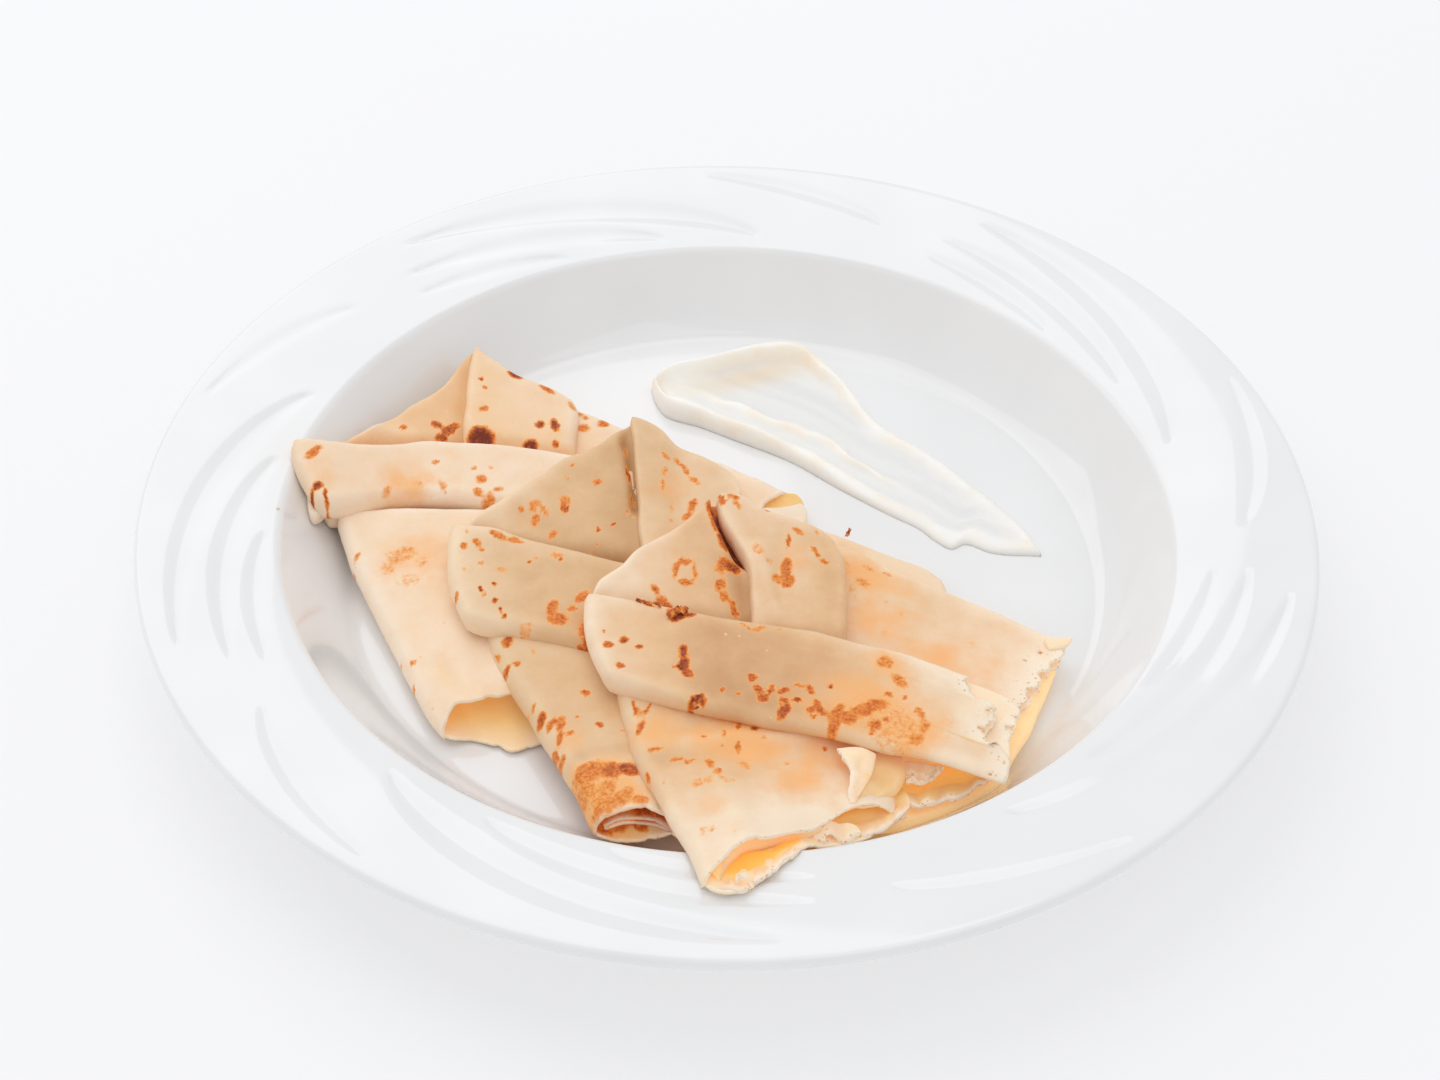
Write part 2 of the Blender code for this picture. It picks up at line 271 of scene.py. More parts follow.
def join(parts: list[tuple[np.ndarray, np.ndarray]]) -> tuple[np.ndarray, np.ndarray]:
    """Join meshes into one.

    Args:
        parts: points and faces of each mesh.

    Returns:
        All points, and all faces with the new numbers of their points.
    """
    starts = np.cumsum([0] + [len(verts) for verts, _ in parts[:-1]])
    return (np.vstack([verts for verts, _ in parts]),
            np.vstack([faces + start for (_, faces), start in zip(parts, starts)]))


def drop_unused(verts: np.ndarray, faces: np.ndarray, layers: dict[str, np.ndarray]
                ) -> tuple[np.ndarray, np.ndarray, dict[str, np.ndarray]]:
    """Drop the points that no face uses.

    Args:
        verts: points in mm.
        faces: four corners of each face.
        layers: painted values of each point.

    Returns:
        The same skin without loose points.
    """
    used = np.unique(faces)
    place = np.zeros(len(verts), dtype=int)
    place[used] = np.arange(len(used))
    return verts[used], place[faces], {key: values[used] for key, values in layers.items()}


def make_object(name: str, verts: np.ndarray, faces: np.ndarray, layers: dict[str, np.ndarray],
                material: bpy.types.Material) -> bpy.types.Object:
    """Make one smooth mesh object with its painted layers.

    Args:
        name: the piece's name.
        verts: points in mm above the foot.
        faces: four corners of each face; a face of three repeats its last.
        layers: one value for each point, by the layer's name.
        material: the finish.

    Returns:
        The linked object.
    """
    mesh = bpy.data.meshes.new(name)
    mesh.from_pydata((verts * MM).tolist(), [],
                     [tuple(dict.fromkeys(f)) for f in faces.tolist()])
    for key, values in layers.items():
        attribute = mesh.attributes.new(key, "FLOAT", "POINT")
        attribute.data.foreach_set("value", np.asarray(values, dtype=np.float32))
    mesh.shade_smooth()
    mesh.materials.append(material)
    piece = bpy.data.objects.new(name, mesh)
    bpy.context.scene.collection.objects.link(piece)
    return piece


# Finishes

@dataclass(frozen=True)
class PorcelainGlaze:
    """Hard porcelain under a clear glaze, fired glassy: bright white, with sharp soft-box reflections."""
    white: str = "#F4F4F3"
    shade: str = "#F1F1F0"
    roughness: float = 0.07
    ior: float = 1.52
    coat: float = 0.5
    coat_roughness: float = 0.04
    ripple_mm: float = 22.0
    ripple_depth_mm: float = 0.6

    def make(self) -> bpy.types.Material:
        """Build the material.

        Returns:
            The finished material.
        """
        material, tree, shader = start_material("porcelain_glaze", {
            "Roughness": self.roughness, "IOR": self.ior, "Coat Weight": self.coat,
            "Coat Roughness": self.coat_roughness})
        place = add_node(tree, "ShaderNodeTexCoord").outputs["Object"]
        # Glaze pools a little unevenly: waves about 22 mm long that only bend its reflections.
        wave = add_node(tree, "ShaderNodeTexNoise", {"Vector": place,
                        "Scale": 1.0 / (self.ripple_mm * MM), "Detail": 1.0}).outputs["Fac"]
        tint = add_node(tree, "ShaderNodeValToRGB", {"Fac": wave})
        set_ramp(tint, ((0.3, self.shade), (0.7, self.white)))
        bump = add_node(tree, "ShaderNodeBump", {"Height": wave, "Strength": 0.05,
                        "Distance": self.ripple_depth_mm * MM})
        feed(tree, shader, {"Base Color": tint.outputs["Color"], "Normal": bump.outputs["Normal"]})
        return material


@dataclass(frozen=True)
class BakedBatter:
    """Thin egg-and-flour batter, fried in butter: a matt pale skin with browned spots.

    The skin lets a little light through, so folds glow warm in their shadows, with a painted glow added.
    Its pores are the burst bubbles of the batter, about a millimetre wide.
    """
    name: str
    pale: str
    middle: str
    tan: str
    soaked: str = "#FFBA76"          # where butter soaked in
    gold: str = "#FFD283"            # inside a fold: the inner face's colour, made warmer as painted glow
    mouth_shade: str = "#FFB955"            # painted shade: deeper orange inside an open mouth
    dried: str = "#FFF0DB"           # along an open edge
    pore_shade: str = "#E3A867"         # painted shade of the layer below, seen through burst bubbles
    browned: Stops = ((0.1, "#FFCC92"), (0.38, "#F6A34E"), (0.6, "#DE7A2E"), (0.8, "#B3531B"),
                      (0.97, "#7A2E0E"))
    # Size in mm, detail and roughness of each noise.
    noises: tuple[tuple[str, float, float, float], ...] = (
        ("mottle", 7.0, 3.0, 0.5), ("fine", 1.6, 3.0, 0.6), ("grain", 1.3, 4.0, 0.65),
        ("pits", 0.7, 2.0, 0.6), ("velvet", 0.55, 2.0, 0.5))
    freckle_gap_mm: float = 5.0
    burst_mm: float = 1.3
    pore_mm: float = 1.1
    pore_depth_mm: float = 0.2
    roughness: float = 0.46
    ior: float = 1.42
    specular: float = 0.4
    glow: float = 0.2
    scatter: tuple[float, float, float] = (1.0, 0.45, 0.2)
    scatter_mm: float = 2.5
    shine: float = 0.36              # painted glow, for the light of the table through a single sheet

    def make(self) -> bpy.types.Material:
        """Build the material.

        Returns:
            The finished material.
        """
        material, tree, shader = start_material(self.name, {
            "Roughness": self.roughness, "IOR": self.ior, "Specular IOR Level": self.specular,
            "Subsurface Weight": self.glow, "Subsurface Radius": self.scatter,
            "Subsurface Scale": self.scatter_mm * MM, "Emission Strength": self.shine})
        place = add_node(tree, "ShaderNodeTexCoord").outputs["Object"]
        painted = {name: add_node(tree, "ShaderNodeAttribute", attribute_name=name).outputs["Fac"]
                   for name in PAINTED}
        noise = {name: add_node(tree, "ShaderNodeTexNoise", {
                     "Vector": place, "Scale": 1.0 / (size * MM), "Detail": detail,
                     "Roughness": rough}).outputs["Fac"]
                 for name, size, detail, rough in self.noises}

        # How brown the skin is here: the painted tone, moved by broad and fine mottling.
        level = painted["tone"]
        for name, amount in (("mottle", 0.32), ("fine", 0.1)):
            level = add_node(tree, "ShaderNodeMath", {0: noise[name], 1: amount, 2: level},
                             operation="MULTIPLY_ADD").outputs["Value"]
        level = add_node(tree, "ShaderNodeMath", {0: level, 1: 0.21}, operation="SUBTRACT")
        base = add_node(tree, "ShaderNodeValToRGB", {"Fac": level.outputs["Value"]})
        set_ramp(base, ((0.0, self.pale), (0.45, self.middle), (1.0, self.tan)))

        # Where butter soaked in, the thin skin glows orange.
        warm = add_node(tree, "ShaderNodeMath", {0: noise["mottle"], 1: 0.9, 2: painted["blush"]},
                        operation="MULTIPLY_ADD")
        warm = add_node(tree, "ShaderNodeMapRange", {"Value": warm.outputs["Value"], "From Min": 0.5,
                        "From Max": 1.35, "To Max": 0.9}, interpolation_type="SMOOTHSTEP")
        # The painted inside is golden up to 1 and turns to the mouth's orange from 1 to 2, painted shade
        # deep in the cavity.
        deeper = add_node(tree, "ShaderNodeMath", {0: painted["inside"], 1: 1.0},
                          operation="SUBTRACT")
        # Dried lace at a torn end: bubbles burst right through it, painted with the shade of the layer
        # below.
        burst = add_node(tree, "ShaderNodeTexVoronoi", {"Vector": place,
                         "Scale": 1.0 / (self.burst_mm * MM)})
        hole = add_node(tree, "ShaderNodeMapRange", {"Value": burst.outputs["Distance"],
                        "From Min": 0.3, "From Max": 0.14}, interpolation_type="SMOOTHSTEP")
        shaded_pores = add_node(tree, "ShaderNodeMath", {0: hole.outputs["Result"], 1: painted["dry"]},
                         operation="MULTIPLY")
        covered, brown = self.browning(tree, place, painted["toast"], noise)
        colour = base.outputs["Color"]
        for amount, over in ((warm.outputs["Result"], linear(self.soaked)),
                             (painted["inside"], linear(self.gold)),
                             (deeper.outputs["Value"], linear(self.mouth_shade)),
                             (covered, brown),
                             (painted["dry"], linear(self.dried)),
                             (shaded_pores.outputs["Value"], linear(self.pore_shade))):
            colour = add_node(tree, "ShaderNodeMix", {MIX_AMOUNT: amount, MIX_UNDER: colour,
                              MIX_OVER: over}, data_type="RGBA").outputs[MIX_RESULT]
        # Painted glow: a single thin sheet is made to glow in its own colour, for the light of the table
        # through it.
        shine = add_node(tree, "ShaderNodeMix", {MIX_AMOUNT: painted["through"],
                         MIX_UNDER: linear("#000000"), MIX_OVER: colour}, data_type="RGBA")

        # Pores of the burst bubbles, and a soft velvet between them.
        pores = add_node(tree, "ShaderNodeTexVoronoi", {"Vector": place,
                         "Scale": 1.0 / (self.pore_mm * MM)}, feature="SMOOTH_F1")
        relief = add_node(tree, "ShaderNodeMath", {0: noise["velvet"], 1: 0.5,
                          2: pores.outputs["Distance"]}, operation="MULTIPLY_ADD")
        bump = add_node(tree, "ShaderNodeBump", {"Height": relief.outputs["Value"],
                        "Strength": 0.32, "Distance": self.pore_depth_mm * MM})
        feed(tree, shader, {"Base Color": colour, "Emission Color": shine.outputs[MIX_RESULT],
                            "Normal": bump.outputs["Normal"]})
        return material

    def browning(self, tree: bpy.types.NodeTree, place: bpy.types.NodeSocket,
                 toast: bpy.types.NodeSocket, noise: dict[str, bpy.types.NodeSocket]
                 ) -> tuple[bpy.types.NodeSocket, bpy.types.NodeSocket]:
        """Browned spots: the painted depth, with edges broken by the batter's grain.

        Args:
            tree: the material's node tree.
            place: the place on the object.
            toast: the painted depth of browning.
            noise: the noises by name.

        Returns:
            How far the browning covers the skin, and its colour.
        """
        shift = add_node(tree, "ShaderNodeMath", {0: noise["grain"], 1: 0.5}, operation="SUBTRACT")
        spot = add_node(tree, "ShaderNodeMath", {0: shift.outputs["Value"], 1: 0.6, 2: toast},
                        operation="MULTIPLY_ADD").outputs["Value"]
        # Inside a spot the blistered skin is darker in its pits.
        char = add_node(tree, "ShaderNodeMath", {0: noise["pits"], 1: 0.7, 2: spot},
                        operation="MULTIPLY_ADD")
        char = add_node(tree, "ShaderNodeMath", {0: char.outputs["Value"], 1: 0.35},
                        operation="SUBTRACT")
        # Single burst bubbles leave pin-head freckles, up to 0.75 mm wide and about 5 mm apart.
        bubbles = add_node(tree, "ShaderNodeTexVoronoi", {"Vector": place,
                           "Scale": 1.0 / (self.freckle_gap_mm * MM)})
        chance = add_node(tree, "ShaderNodeMapRange", {"Value": bubbles.outputs["Color"],
                          "From Min": 0.35, "From Max": 0.85, "To Max": 0.075})
        freckle = add_node(tree, "ShaderNodeMath", {0: bubbles.outputs["Distance"],
                           1: chance.outputs["Result"]}, operation="LESS_THAN")
        spot = add_node(tree, "ShaderNodeMath", {0: freckle.outputs["Value"], 1: 0.42, 2: spot},
                        operation="MULTIPLY_ADD")
        covered = add_node(tree, "ShaderNodeMapRange", {"Value": spot.outputs["Value"],
                           "From Min": 0.12, "From Max": 0.5}, interpolation_type="SMOOTHSTEP")
        brown = add_node(tree, "ShaderNodeValToRGB", {"Fac": char.outputs["Value"]})
        set_ramp(brown, self.browned)
        return covered.outputs["Result"], brown.outputs["Color"]


@dataclass(frozen=True)
class SourCream:
    """Thick sour cream, dragged with a spoon: wet white fat that lets light in, with a soft shine."""
    white: str = "#FFFBF3"
    shade: str = "#FDF0E2"
    veil: str = "#F8F4EC"            # where it lies thin over the plate
    hollow_shade: str = "#F6DDBE"       # painted warm shade in the deep hollow behind the heel
    roughness: float = 0.28
    ior: float = 1.38
    scatter_weight: float = 0.35
    scatter: tuple[float, float, float] = (1.0, 0.75, 0.5)
    scatter_mm: float = 3.0
    shine: float = 0.035             # painted glow, for the light of the plate below scattered back up
    cloud_mm: float = 9.0
    curd_mm: float = 0.9
    curd_depth_mm: float = 0.1

    def make(self) -> bpy.types.Material:
        """Build the material.

        Returns:
            The finished material.
        """
        material, tree, shader = start_material("sour_cream", {
            "Roughness": self.roughness, "IOR": self.ior, "Subsurface Weight": self.scatter_weight,
            "Subsurface Radius": self.scatter, "Subsurface Scale": self.scatter_mm * MM,
            "Emission Strength": self.shine})
        place = add_node(tree, "ShaderNodeTexCoord").outputs["Object"]
        cloud = add_node(tree, "ShaderNodeTexNoise", {"Vector": place,
                         "Scale": 1.0 / (self.cloud_mm * MM), "Detail": 3.0})
        tint = add_node(tree, "ShaderNodeValToRGB", {"Fac": cloud.outputs["Fac"]})
        set_ramp(tint, ((0.35, self.shade), (0.6, self.white)))
        hollow, thick = (add_node(tree, "ShaderNodeAttribute", attribute_name=name).outputs["Fac"]
                         for name in ("hollow", "thick"))
        veil = add_node(tree, "ShaderNodeMix", {MIX_AMOUNT: thick, MIX_UNDER: linear(self.veil),
                        MIX_OVER: tint.outputs["Color"]}, data_type="RGBA")
        # Painted warm shade in the hollow behind the heel.
        fat = add_node(tree, "ShaderNodeMix", {MIX_AMOUNT: hollow,
                       MIX_UNDER: veil.outputs[MIX_RESULT],
                       MIX_OVER: linear(self.hollow_shade)}, data_type="RGBA").outputs[MIX_RESULT]
        # Curd grain, finer than a millimetre.
        curd = add_node(tree, "ShaderNodeTexNoise", {"Vector": place,
                        "Scale": 1.0 / (self.curd_mm * MM), "Detail": 2.0})
        bump = add_node(tree, "ShaderNodeBump", {"Height": curd.outputs["Fac"],
                        "Strength": 0.25, "Distance": self.curd_depth_mm * MM})
        feed(tree, shader, {"Base Color": fat, "Emission Color": fat,
                            "Normal": bump.outputs["Normal"]})
        return material


@dataclass(frozen=True)
class StudioFloor:
    """Opal acrylic light table, lit from below: even and pale, so shadows on it stay faint."""
    white: str = "#C2C2C3"
    shade: str = "#C0C0C2"
    roughness: float = 0.9
    specular: float = 0.1
    cloud_m: float = 2 / 3
    lit: float = 0.42

    def make(self) -> bpy.types.Material:
        """Build the material.

        Returns:
            The finished material.
        """
        material, tree, shader = start_material("studio_floor", {
            "Roughness": self.roughness, "Specular IOR Level": self.specular,
            "Emission Color": linear("#FFFFFF"), "Emission Strength": self.lit})
        place = add_node(tree, "ShaderNodeTexCoord").outputs["Object"]
        cloud = add_node(tree, "ShaderNodeTexNoise", {"Vector": place, "Scale": 1.0 / self.cloud_m,
                         "Detail": 2.0})
        tint = add_node(tree, "ShaderNodeValToRGB", {"Fac": cloud.outputs["Fac"]})
        set_ramp(tint, ((0.3, self.shade), (0.7, self.white)))
        feed(tree, shader, {"Base Color": tint.outputs["Color"]})
        return material


# Plate

@dataclass(frozen=True)
class Flute:
    """One leaf-shaped hollow pressed into the rim, sweeping from the shoulder to the lip."""
    start_deg: float
    sweep_deg: float
    start_radius: float
    end_radius: float
    width: float
    depth: float

    def dent(self, radius: np.ndarray, angle: np.ndarray) -> np.ndarray:
        """How far the hollow sinks at each place.

        Args:
            radius: distance from the middle in mm.
            angle: direction in degrees.

        Returns:
            Depth in mm, with a steep outer side and a shallow inner one.
        """
        along = ((angle - self.start_deg + 180.0) % 360.0 - 180.0) / self.sweep_deg
        inside = (along > 0.0) & (along < 1.0)
        t = np.clip(along, 0.0, 1.0)
        middle = self.start_radius + (self.end_radius - self.start_radius) * t ** 0.75
        half = self.width * np.sin(math.pi * t ** 0.8) ** 0.75 + 1e-3
        off = (radius - middle) / half
        wall = np.where(off > 0, 1 - smooth(off, 0.15, 1.0), 1 - smooth(-off, 0.0, 1.0))
        return np.where(inside, self.depth * wall * smooth(half, 0.0, 1.6), 0.0)


@dataclass
class RimmedPlate:
    """The round plate: foot, flat well, steep wall and a broad rim with pressed flutes."""
    rim_radius: float = 139.8
    lip_radius: float = 1.6
    shoulder_radius: float = 107.0
    well_radius: float = 90.0
    shoulder_height: float = 18.3
    rim_height: float = 23.4
    wall: float = 3.8
    foot_radius: float = 84.0
    foot_width: float = 4.5
    foot_height: float = 1.6
    base_height: float = 1.7         # the underside inside the foot
    groups: int = 5
    turns: int = 720

    def height(self, radius: np.ndarray) -> np.ndarray:
        """Height of the plate's upper face above the well's floor, in mm, at a radius."""
        s = np.clip((radius - self.well_radius) / (self.shoulder_radius - self.well_radius), 0, 1)
        rise = self.shoulder_height * (0.28 * s + 1.16 * s ** 2 - 0.44 * s ** 3)
        q = np.clip((radius - self.shoulder_radius) / (self.rim_radius - self.shoulder_radius), 0, 1)
        soft = smooth(radius, self.well_radius - 3, self.well_radius + 4)
        return (rise * soft + (self.rim_height - self.shoulder_height)
                * (1.35 * q - 0.35 * q * q))

    def flutes(self) -> list[Flute]:
        """The pressed hollows: in each group three nested leaves and a short one before them."""
        made = []
        for k in range(self.groups):
            turn = 360.0 / self.groups * k + 14.0
            made += [Flute(turn, 46.0, 112.0, 133.5, 6.0, 0.7),
                     Flute(turn + 13.0, 36.0, 111.0, 123.5, 4.6, 0.6),
                     Flute(turn + 27.0, 23.0, 109.5, 116.0, 3.2, 0.5),
                     Flute(turn - 16.0, 24.0, 122.0, 135.5, 3.6, 0.45)]
        return made

    def profile(self) -> tuple[np.ndarray, int]:
        """Half of a cut through the plate, from the well over the lip to the underside.

        Returns:
            Radius and height in mm of each point, and how many of them are on the upper face.
        """
        outer = self.rim_radius - self.lip_radius
        # Rings 4 mm apart in the well, and about 1 mm apart over the wall and the rim's relief.
        rings = np.concatenate([np.linspace(0, 84, 22)[1:], np.linspace(86, 108, 23),
                                np.linspace(108.9, outer, 34)])
        top = [(r, FLOOR_TOP + float(self.height(np.array(r)))) for r in rings]
        lip_height = top[-1][1] - self.lip_radius
        lip = [(outer + self.lip_radius * math.cos(a), lip_height + self.lip_radius * math.sin(a))
               for a in np.linspace(math.pi / 2, -math.pi / 2, 11)[1:]]
        under = [(r, max(self.foot_height, FLOOR_TOP + float(self.height(np.array(r))) - self.wall))
                 for r in np.linspace(outer - 3, self.foot_radius + self.foot_width, 22)]
        foot = [(self.foot_radius + self.foot_width * 0.8, 0.5), (self.foot_radius + 3, 0.0),
                (self.foot_radius + 1.2, 0.0), (self.foot_radius, 0.5),
                (self.foot_radius - 0.6, self.foot_height),
                (60.0, self.base_height), (20.0, self.base_height)]
        return np.array(top + lip + under + foot), len(top)

    def build(self) -> bpy.types.Object:
        """Turn the profile and press the flutes.

        Returns:
            The plate as one object.
        """
        profile, upper = self.profile()
        angles = np.degrees(np.arange(self.turns) * 2 * math.pi / self.turns)
        radius, angle = np.meshgrid(profile[:, 0], angles, indexing="ij")
        height = np.repeat(profile[:, 1:2], self.turns, axis=1)
        pressed = np.zeros_like(height[:upper])
        for flute in self.flutes():
            pressed = np.maximum(pressed, flute.dent(radius[:upper], angle[:upper]))
        height[:upper] -= pressed
        verts = np.stack([radius * np.cos(np.radians(angle)), radius * np.sin(np.radians(angle)),
                          height], axis=-1).reshape(-1, 3)
        count, n = len(profile), self.turns
        i, j = np.meshgrid(np.arange(count - 1), np.arange(n), indexing="ij")
        k = (j + 1) % n
        faces = np.stack([i * n + j, (i + 1) * n + j, (i + 1) * n + k, i * n + k],
                         axis=-1).reshape(-1, 4)
        # The middle of the upper and the lower face: a fan to one point each.
        verts = np.vstack([verts, [[0, 0, FLOOR_TOP], [0, 0, self.base_height]]])
        ring = np.arange(n)
        after = (ring + 1) % n
        crown = np.stack([np.full(n, count * n), ring, after, after], axis=-1)
        last = (count - 1) * n
        base = np.stack([np.full(n, count * n + 1), last + after, last + ring, last + ring], axis=-1)
        piece = make_object("plate_glazed", verts, np.vstack([faces, crown, base]), {},
                            PorcelainGlaze().make())
        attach(piece, "root")
        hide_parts("plate")
        return piece


PLATE = RimmedPlate()


# Crepes

CLEARANCE = 0.12         # the least gap between a crepe and the plate
SHARP = 2.2              # how much sooner a tight fold turns over
TORN_REACH = 5.0         # how far in from an open edge its raggedness fades
LOOSE_REACH = 11.0       # the same for the waves of a loose edge
EASE_REACH = 14.0        # the same for the lower sheet's own outline
FOLD_HIGHLIGHT = 0.16        # painted highlight: how much paler the batter is painted along a folded edge
CREASE_SHADE = 0.14    # painted shade: how much darker the batter is painted for each mm that a crease sinks, lighter on a ridge
LACE_DRY = 0.75          # how dry the lace of a torn end is
LINING_GOLD = 0.85       # how golden the inner face is
LIP_FADE = 0.6           # how much less golden it is at the lip
LINING_GLOW = 0.34      # how much painted glow the inner face has


class Grain(Enum):
    """Unevenness of a layer: the step from its seed, the size in mm and the amount."""
    TONE = (0, 16.0, 0.06)
    DRY_EDGE = (5, 1.6, 0.5)
    LACE_EDGE = (6, 4.0, 2.0)
    TORN = (7, 2.6, 1.0)
    TORN_FINE = (8, 1.1, 0.7)
    MOUTH = (9, 3.0, 0.5)
    DRIFT_X = (11, 8.0, 0.45)
    DRIFT_Y = (12, 8.0, 0.45)
    SWELL = (13, 13.0, 1.0)
    DIMPLE = (14, 4.2, 0.13)
    RIPPLE = (15, 1.8, 0.05)
    DEPTH = (16, 17.0, 0.1)
    CREASE = (17, 5.0, 0.8)
    WAVE = (18, 6.5, 1.0)
    SPOT = (40, 1.5, 0.28)
    SOAK = (44, 4.0, 0.15)
    HOLE = (60, 1.7, 1.0)


@dataclass
class Layer:
    """One visible layer of a folded crepe: a sheet turned over on itself, soft at its folds.

    far, near, left and right are the sheet's edges seen from the camera. far and near run from left to
    right, left and right give only the points between near and far. h is the height of the upper face.
    """
    far: Points
    near: Points
    left: Points = ()
    right: Points = ()
    open_edge: Edge | None = None
    under: Points = ()                        # where the lower sheet ends below an open edge
    depth: tuple[float, ...] = (6, 6, 6, 6)   # at near-left, near-right, far-right and far-left
    roll: float = 2.8                         # how far a fold's turn reaches in
    tone: tuple[float, ...] = (0.3, 0.3)      # brownness from left to right
    tone_far: tuple[float, ...] = (0.0, 0.0)  # what it adds from near to far; on facets and bands, painted shade on the near side
    blush: Points = ()                        # x, y, radius, strength, stretch and turn of a soaked patch
    corner: float = 3.2                       # radius of the corners between folds
    skin: float = 0.65                        # thickness of the single sheet
    crisp: float = 0.35                       # how much of the browning shows on the inside
    gilt: float = 0.0                         # how golden the outside is: the thin sheet's colour, partly painted glow
    through: float = 0.0                      # how much painted glow the sheet has, for light through it
    deep: float = 0.0                         # golden to 1 and orange to 2 inside its open mouth: painted shade in the cavity
    belly: float = 0.0                        # how far the lower sheet hangs away from the upper
    bleach: float = 0.6                       # how pale an open edge dries
    tight: tuple[Edge, ...] = ()              # folded edges that turn over sharply
    step: float = 0.8                         # spacing of the points
    ragged: float = 0.5                       # how deep an open edge is torn
    wave: float = 0.6                         # how high an open edge waves
    creases: Points = ()                      # x0, y0, x1, y1, width, depth; below 0 it is a ridge
    marks: Points = ()                        # x, y, radius, depth, stretch and turn of a browned spot; a few paint shade in a crease
    lace: float = 0.0                         # how far in from the open edge small holes reach
    seed: int = 1
    swell: float = 0.35                       # how high its broad unevenness is

    def grain(self, kind: Grain, x: np.ndarray, y: np.ndarray) -> np.ndarray:
        """One kind of the layer's unevenness at each place of the plan."""
        step, size, amount = kind.value
        return amount * lattice_noise(x, y, size, self.seed + step)

    def patch(self) -> tuple[Rail, Rail, Rail, Rail]:
        """The far, near, left and right rails, with their ends joined at the corners."""
        far, near = Rail(self.far), Rail(self.near)
        left = Rail((self.near[0], *self.left, self.far[0]))
        right = Rail((self.near[-1], *self.right, self.far[-1]))
        return far, near, left, right

    def closest_fold(self, reach: dict[Edge, np.ndarray], sharp: float = 1.0) -> np.ndarray:
        """Distance in mm from the nearest folded edge, with tight ones sharp times as far."""
        return np.minimum.reduce([gap * (sharp if edge in self.tight else 1.0)
                                  for edge, gap in reach.items() if edge is not self.open_edge])

    def depth_at(self, u: np.ndarray, v: np.ndarray) -> np.ndarray:
        """Thickness of the folded layer, in mm, at each place."""
        nl, nr, fr, fl = self.depth
        return (nl * (1 - u) + nr * u) * (1 - v) + (fl * (1 - u) + fr * u) * v

    def toast_at(self, x: np.ndarray, y: np.ndarray) -> np.ndarray:
        """Depth of browning from the marks at each place of the plan, up to 1 for nearly black; a few marks
        paint shade in a crease.
        """
        browned = np.zeros_like(x)
        jitter = self.grain(Grain.SPOT, x, y)
        for mx, my, size, strength, *shape in self.marks:
            size = max(size * 1.1, 0.7)
            off = oval(x, y, (mx, my), size, shape) + jitter / max(1.0, size * 0.8)
            browned = np.maximum(browned, strength * (1 - smooth(off, 0.55, 1.35)))
        return browned

    def blush_at(self, x: np.ndarray, y: np.ndarray) -> np.ndarray:
        """How soaked the skin is at each place of the plan."""
        soaked = np.zeros_like(x)
        jitter = self.grain(Grain.SOAK, x, y)
        for px, py, size, strength, *shape in self.blush:
            off = oval(x, y, (px, py), size, shape) + jitter
            soaked = np.maximum(soaked, strength * (1 - smooth(off, 0.0, 1.3)))
        return soaked

    def sunk_at(self, x: np.ndarray, y: np.ndarray) -> np.ndarray:
        """How far the creases sink in mm at each place of the plan: below 0 on a ridge."""
        sunk = np.zeros_like(x)
        bend = self.grain(Grain.CREASE, x, y)
        for x0, y0, x1, y1, width, depth in self.creases:
            run = np.hypot(x1 - x0, y1 - y0)
            t = ((x - x0) * (x1 - x0) + (y - y0) * (y1 - y0)) / run ** 2
            off = ((x - x0) * (y1 - y0) - (y - y0) * (x1 - x0)) / run + bend
            sunk = sunk + depth * (np.exp(-(off / width) ** 2) * smooth(t, -0.12, 0.15)
                                   * (1 - smooth(t, 0.85, 1.12)))
        return sunk

    def build(self) -> tuple[np.ndarray, np.ndarray, dict[str, np.ndarray]]:
        """Make the layer's mesh.

        Returns:
            Points in mm above the foot, faces, and the painted values of each point.
        """
        far, near, left, right = rails = self.patch()
        us = fractions((far.length + near.length) / 2, self.step, self.roll,
                       self.open_edge is not LEFT, self.open_edge is not RIGHT)
        vs = fractions((left.length + right.length) / 2, self.step, self.roll,
                       self.open_edge is not NEAR, self.open_edge is not FAR)
        u, v = np.meshgrid(us, vs, indexing="ij")
        wide = near.length * (1 - v) + far.length * v
        tall = left.length * (1 - u) + right.length * u
        reach = {LEFT: u * wide, RIGHT: (1 - u) * wide, NEAR: v * tall, FAR: (1 - v) * tall}
        u, v = self.round_corners(u, v, wide, tall, reach)
        top, low = self.surface(u, v, reach, rails)
        faces = self.faces(top, reach)
        verts = np.vstack([top.reshape(-1, 3), low.reshape(-1, 3)])
        layers = self.paint(verts, u, v, reach)
        if self.open_edge is not None:
            lip = 1 - smooth(both_sheets(reach[self.open_edge]), 1.0, 6.0)
            verts, faces, layers = thicken(verts, faces, layers, self.skin, self.crisp,
                                           LINING_GOLD - LIP_FADE * lip)
        return drop_unused(verts, faces, layers)

    def faces(self, top: np.ndarray, reach: dict[Edge, np.ndarray]) -> np.ndarray:
        """Faces of both sheets, which share their points along the folds.

        Args:
            top: points of the upper sheet.
            reach: distance in mm from each edge.

        Returns:
            Four corners of each face. A lacy sheet has small holes.
        """
        above = np.arange(top.shape[0] * top.shape[1]).reshape(top.shape[:2])
        below = above + above.size
        for edge, where in ((LEFT, np.s_[0, :]), (RIGHT, np.s_[-1, :]),
                            (NEAR, np.s_[:, 0]), (FAR, np.s_[:, -1])):
            if edge is not self.open_edge:
                below[where] = above[where]
        upper, lower = quads(above), quads(below)[..., ::-1]
        keep = np.ones(upper.shape[:2], dtype=bool)
        if self.lace > 0:
            gap = reach[self.open_edge][:-1, :-1]
            hole = self.grain(Grain.HOLE, top[:-1, :-1, 0], top[:-1, :-1, 1])
            keep = (hole - 0.45 - 0.4 * gap / self.lace < 0) | (gap < 0.5)
        return np.vstack([upper[keep], lower.reshape(-1, 4)])

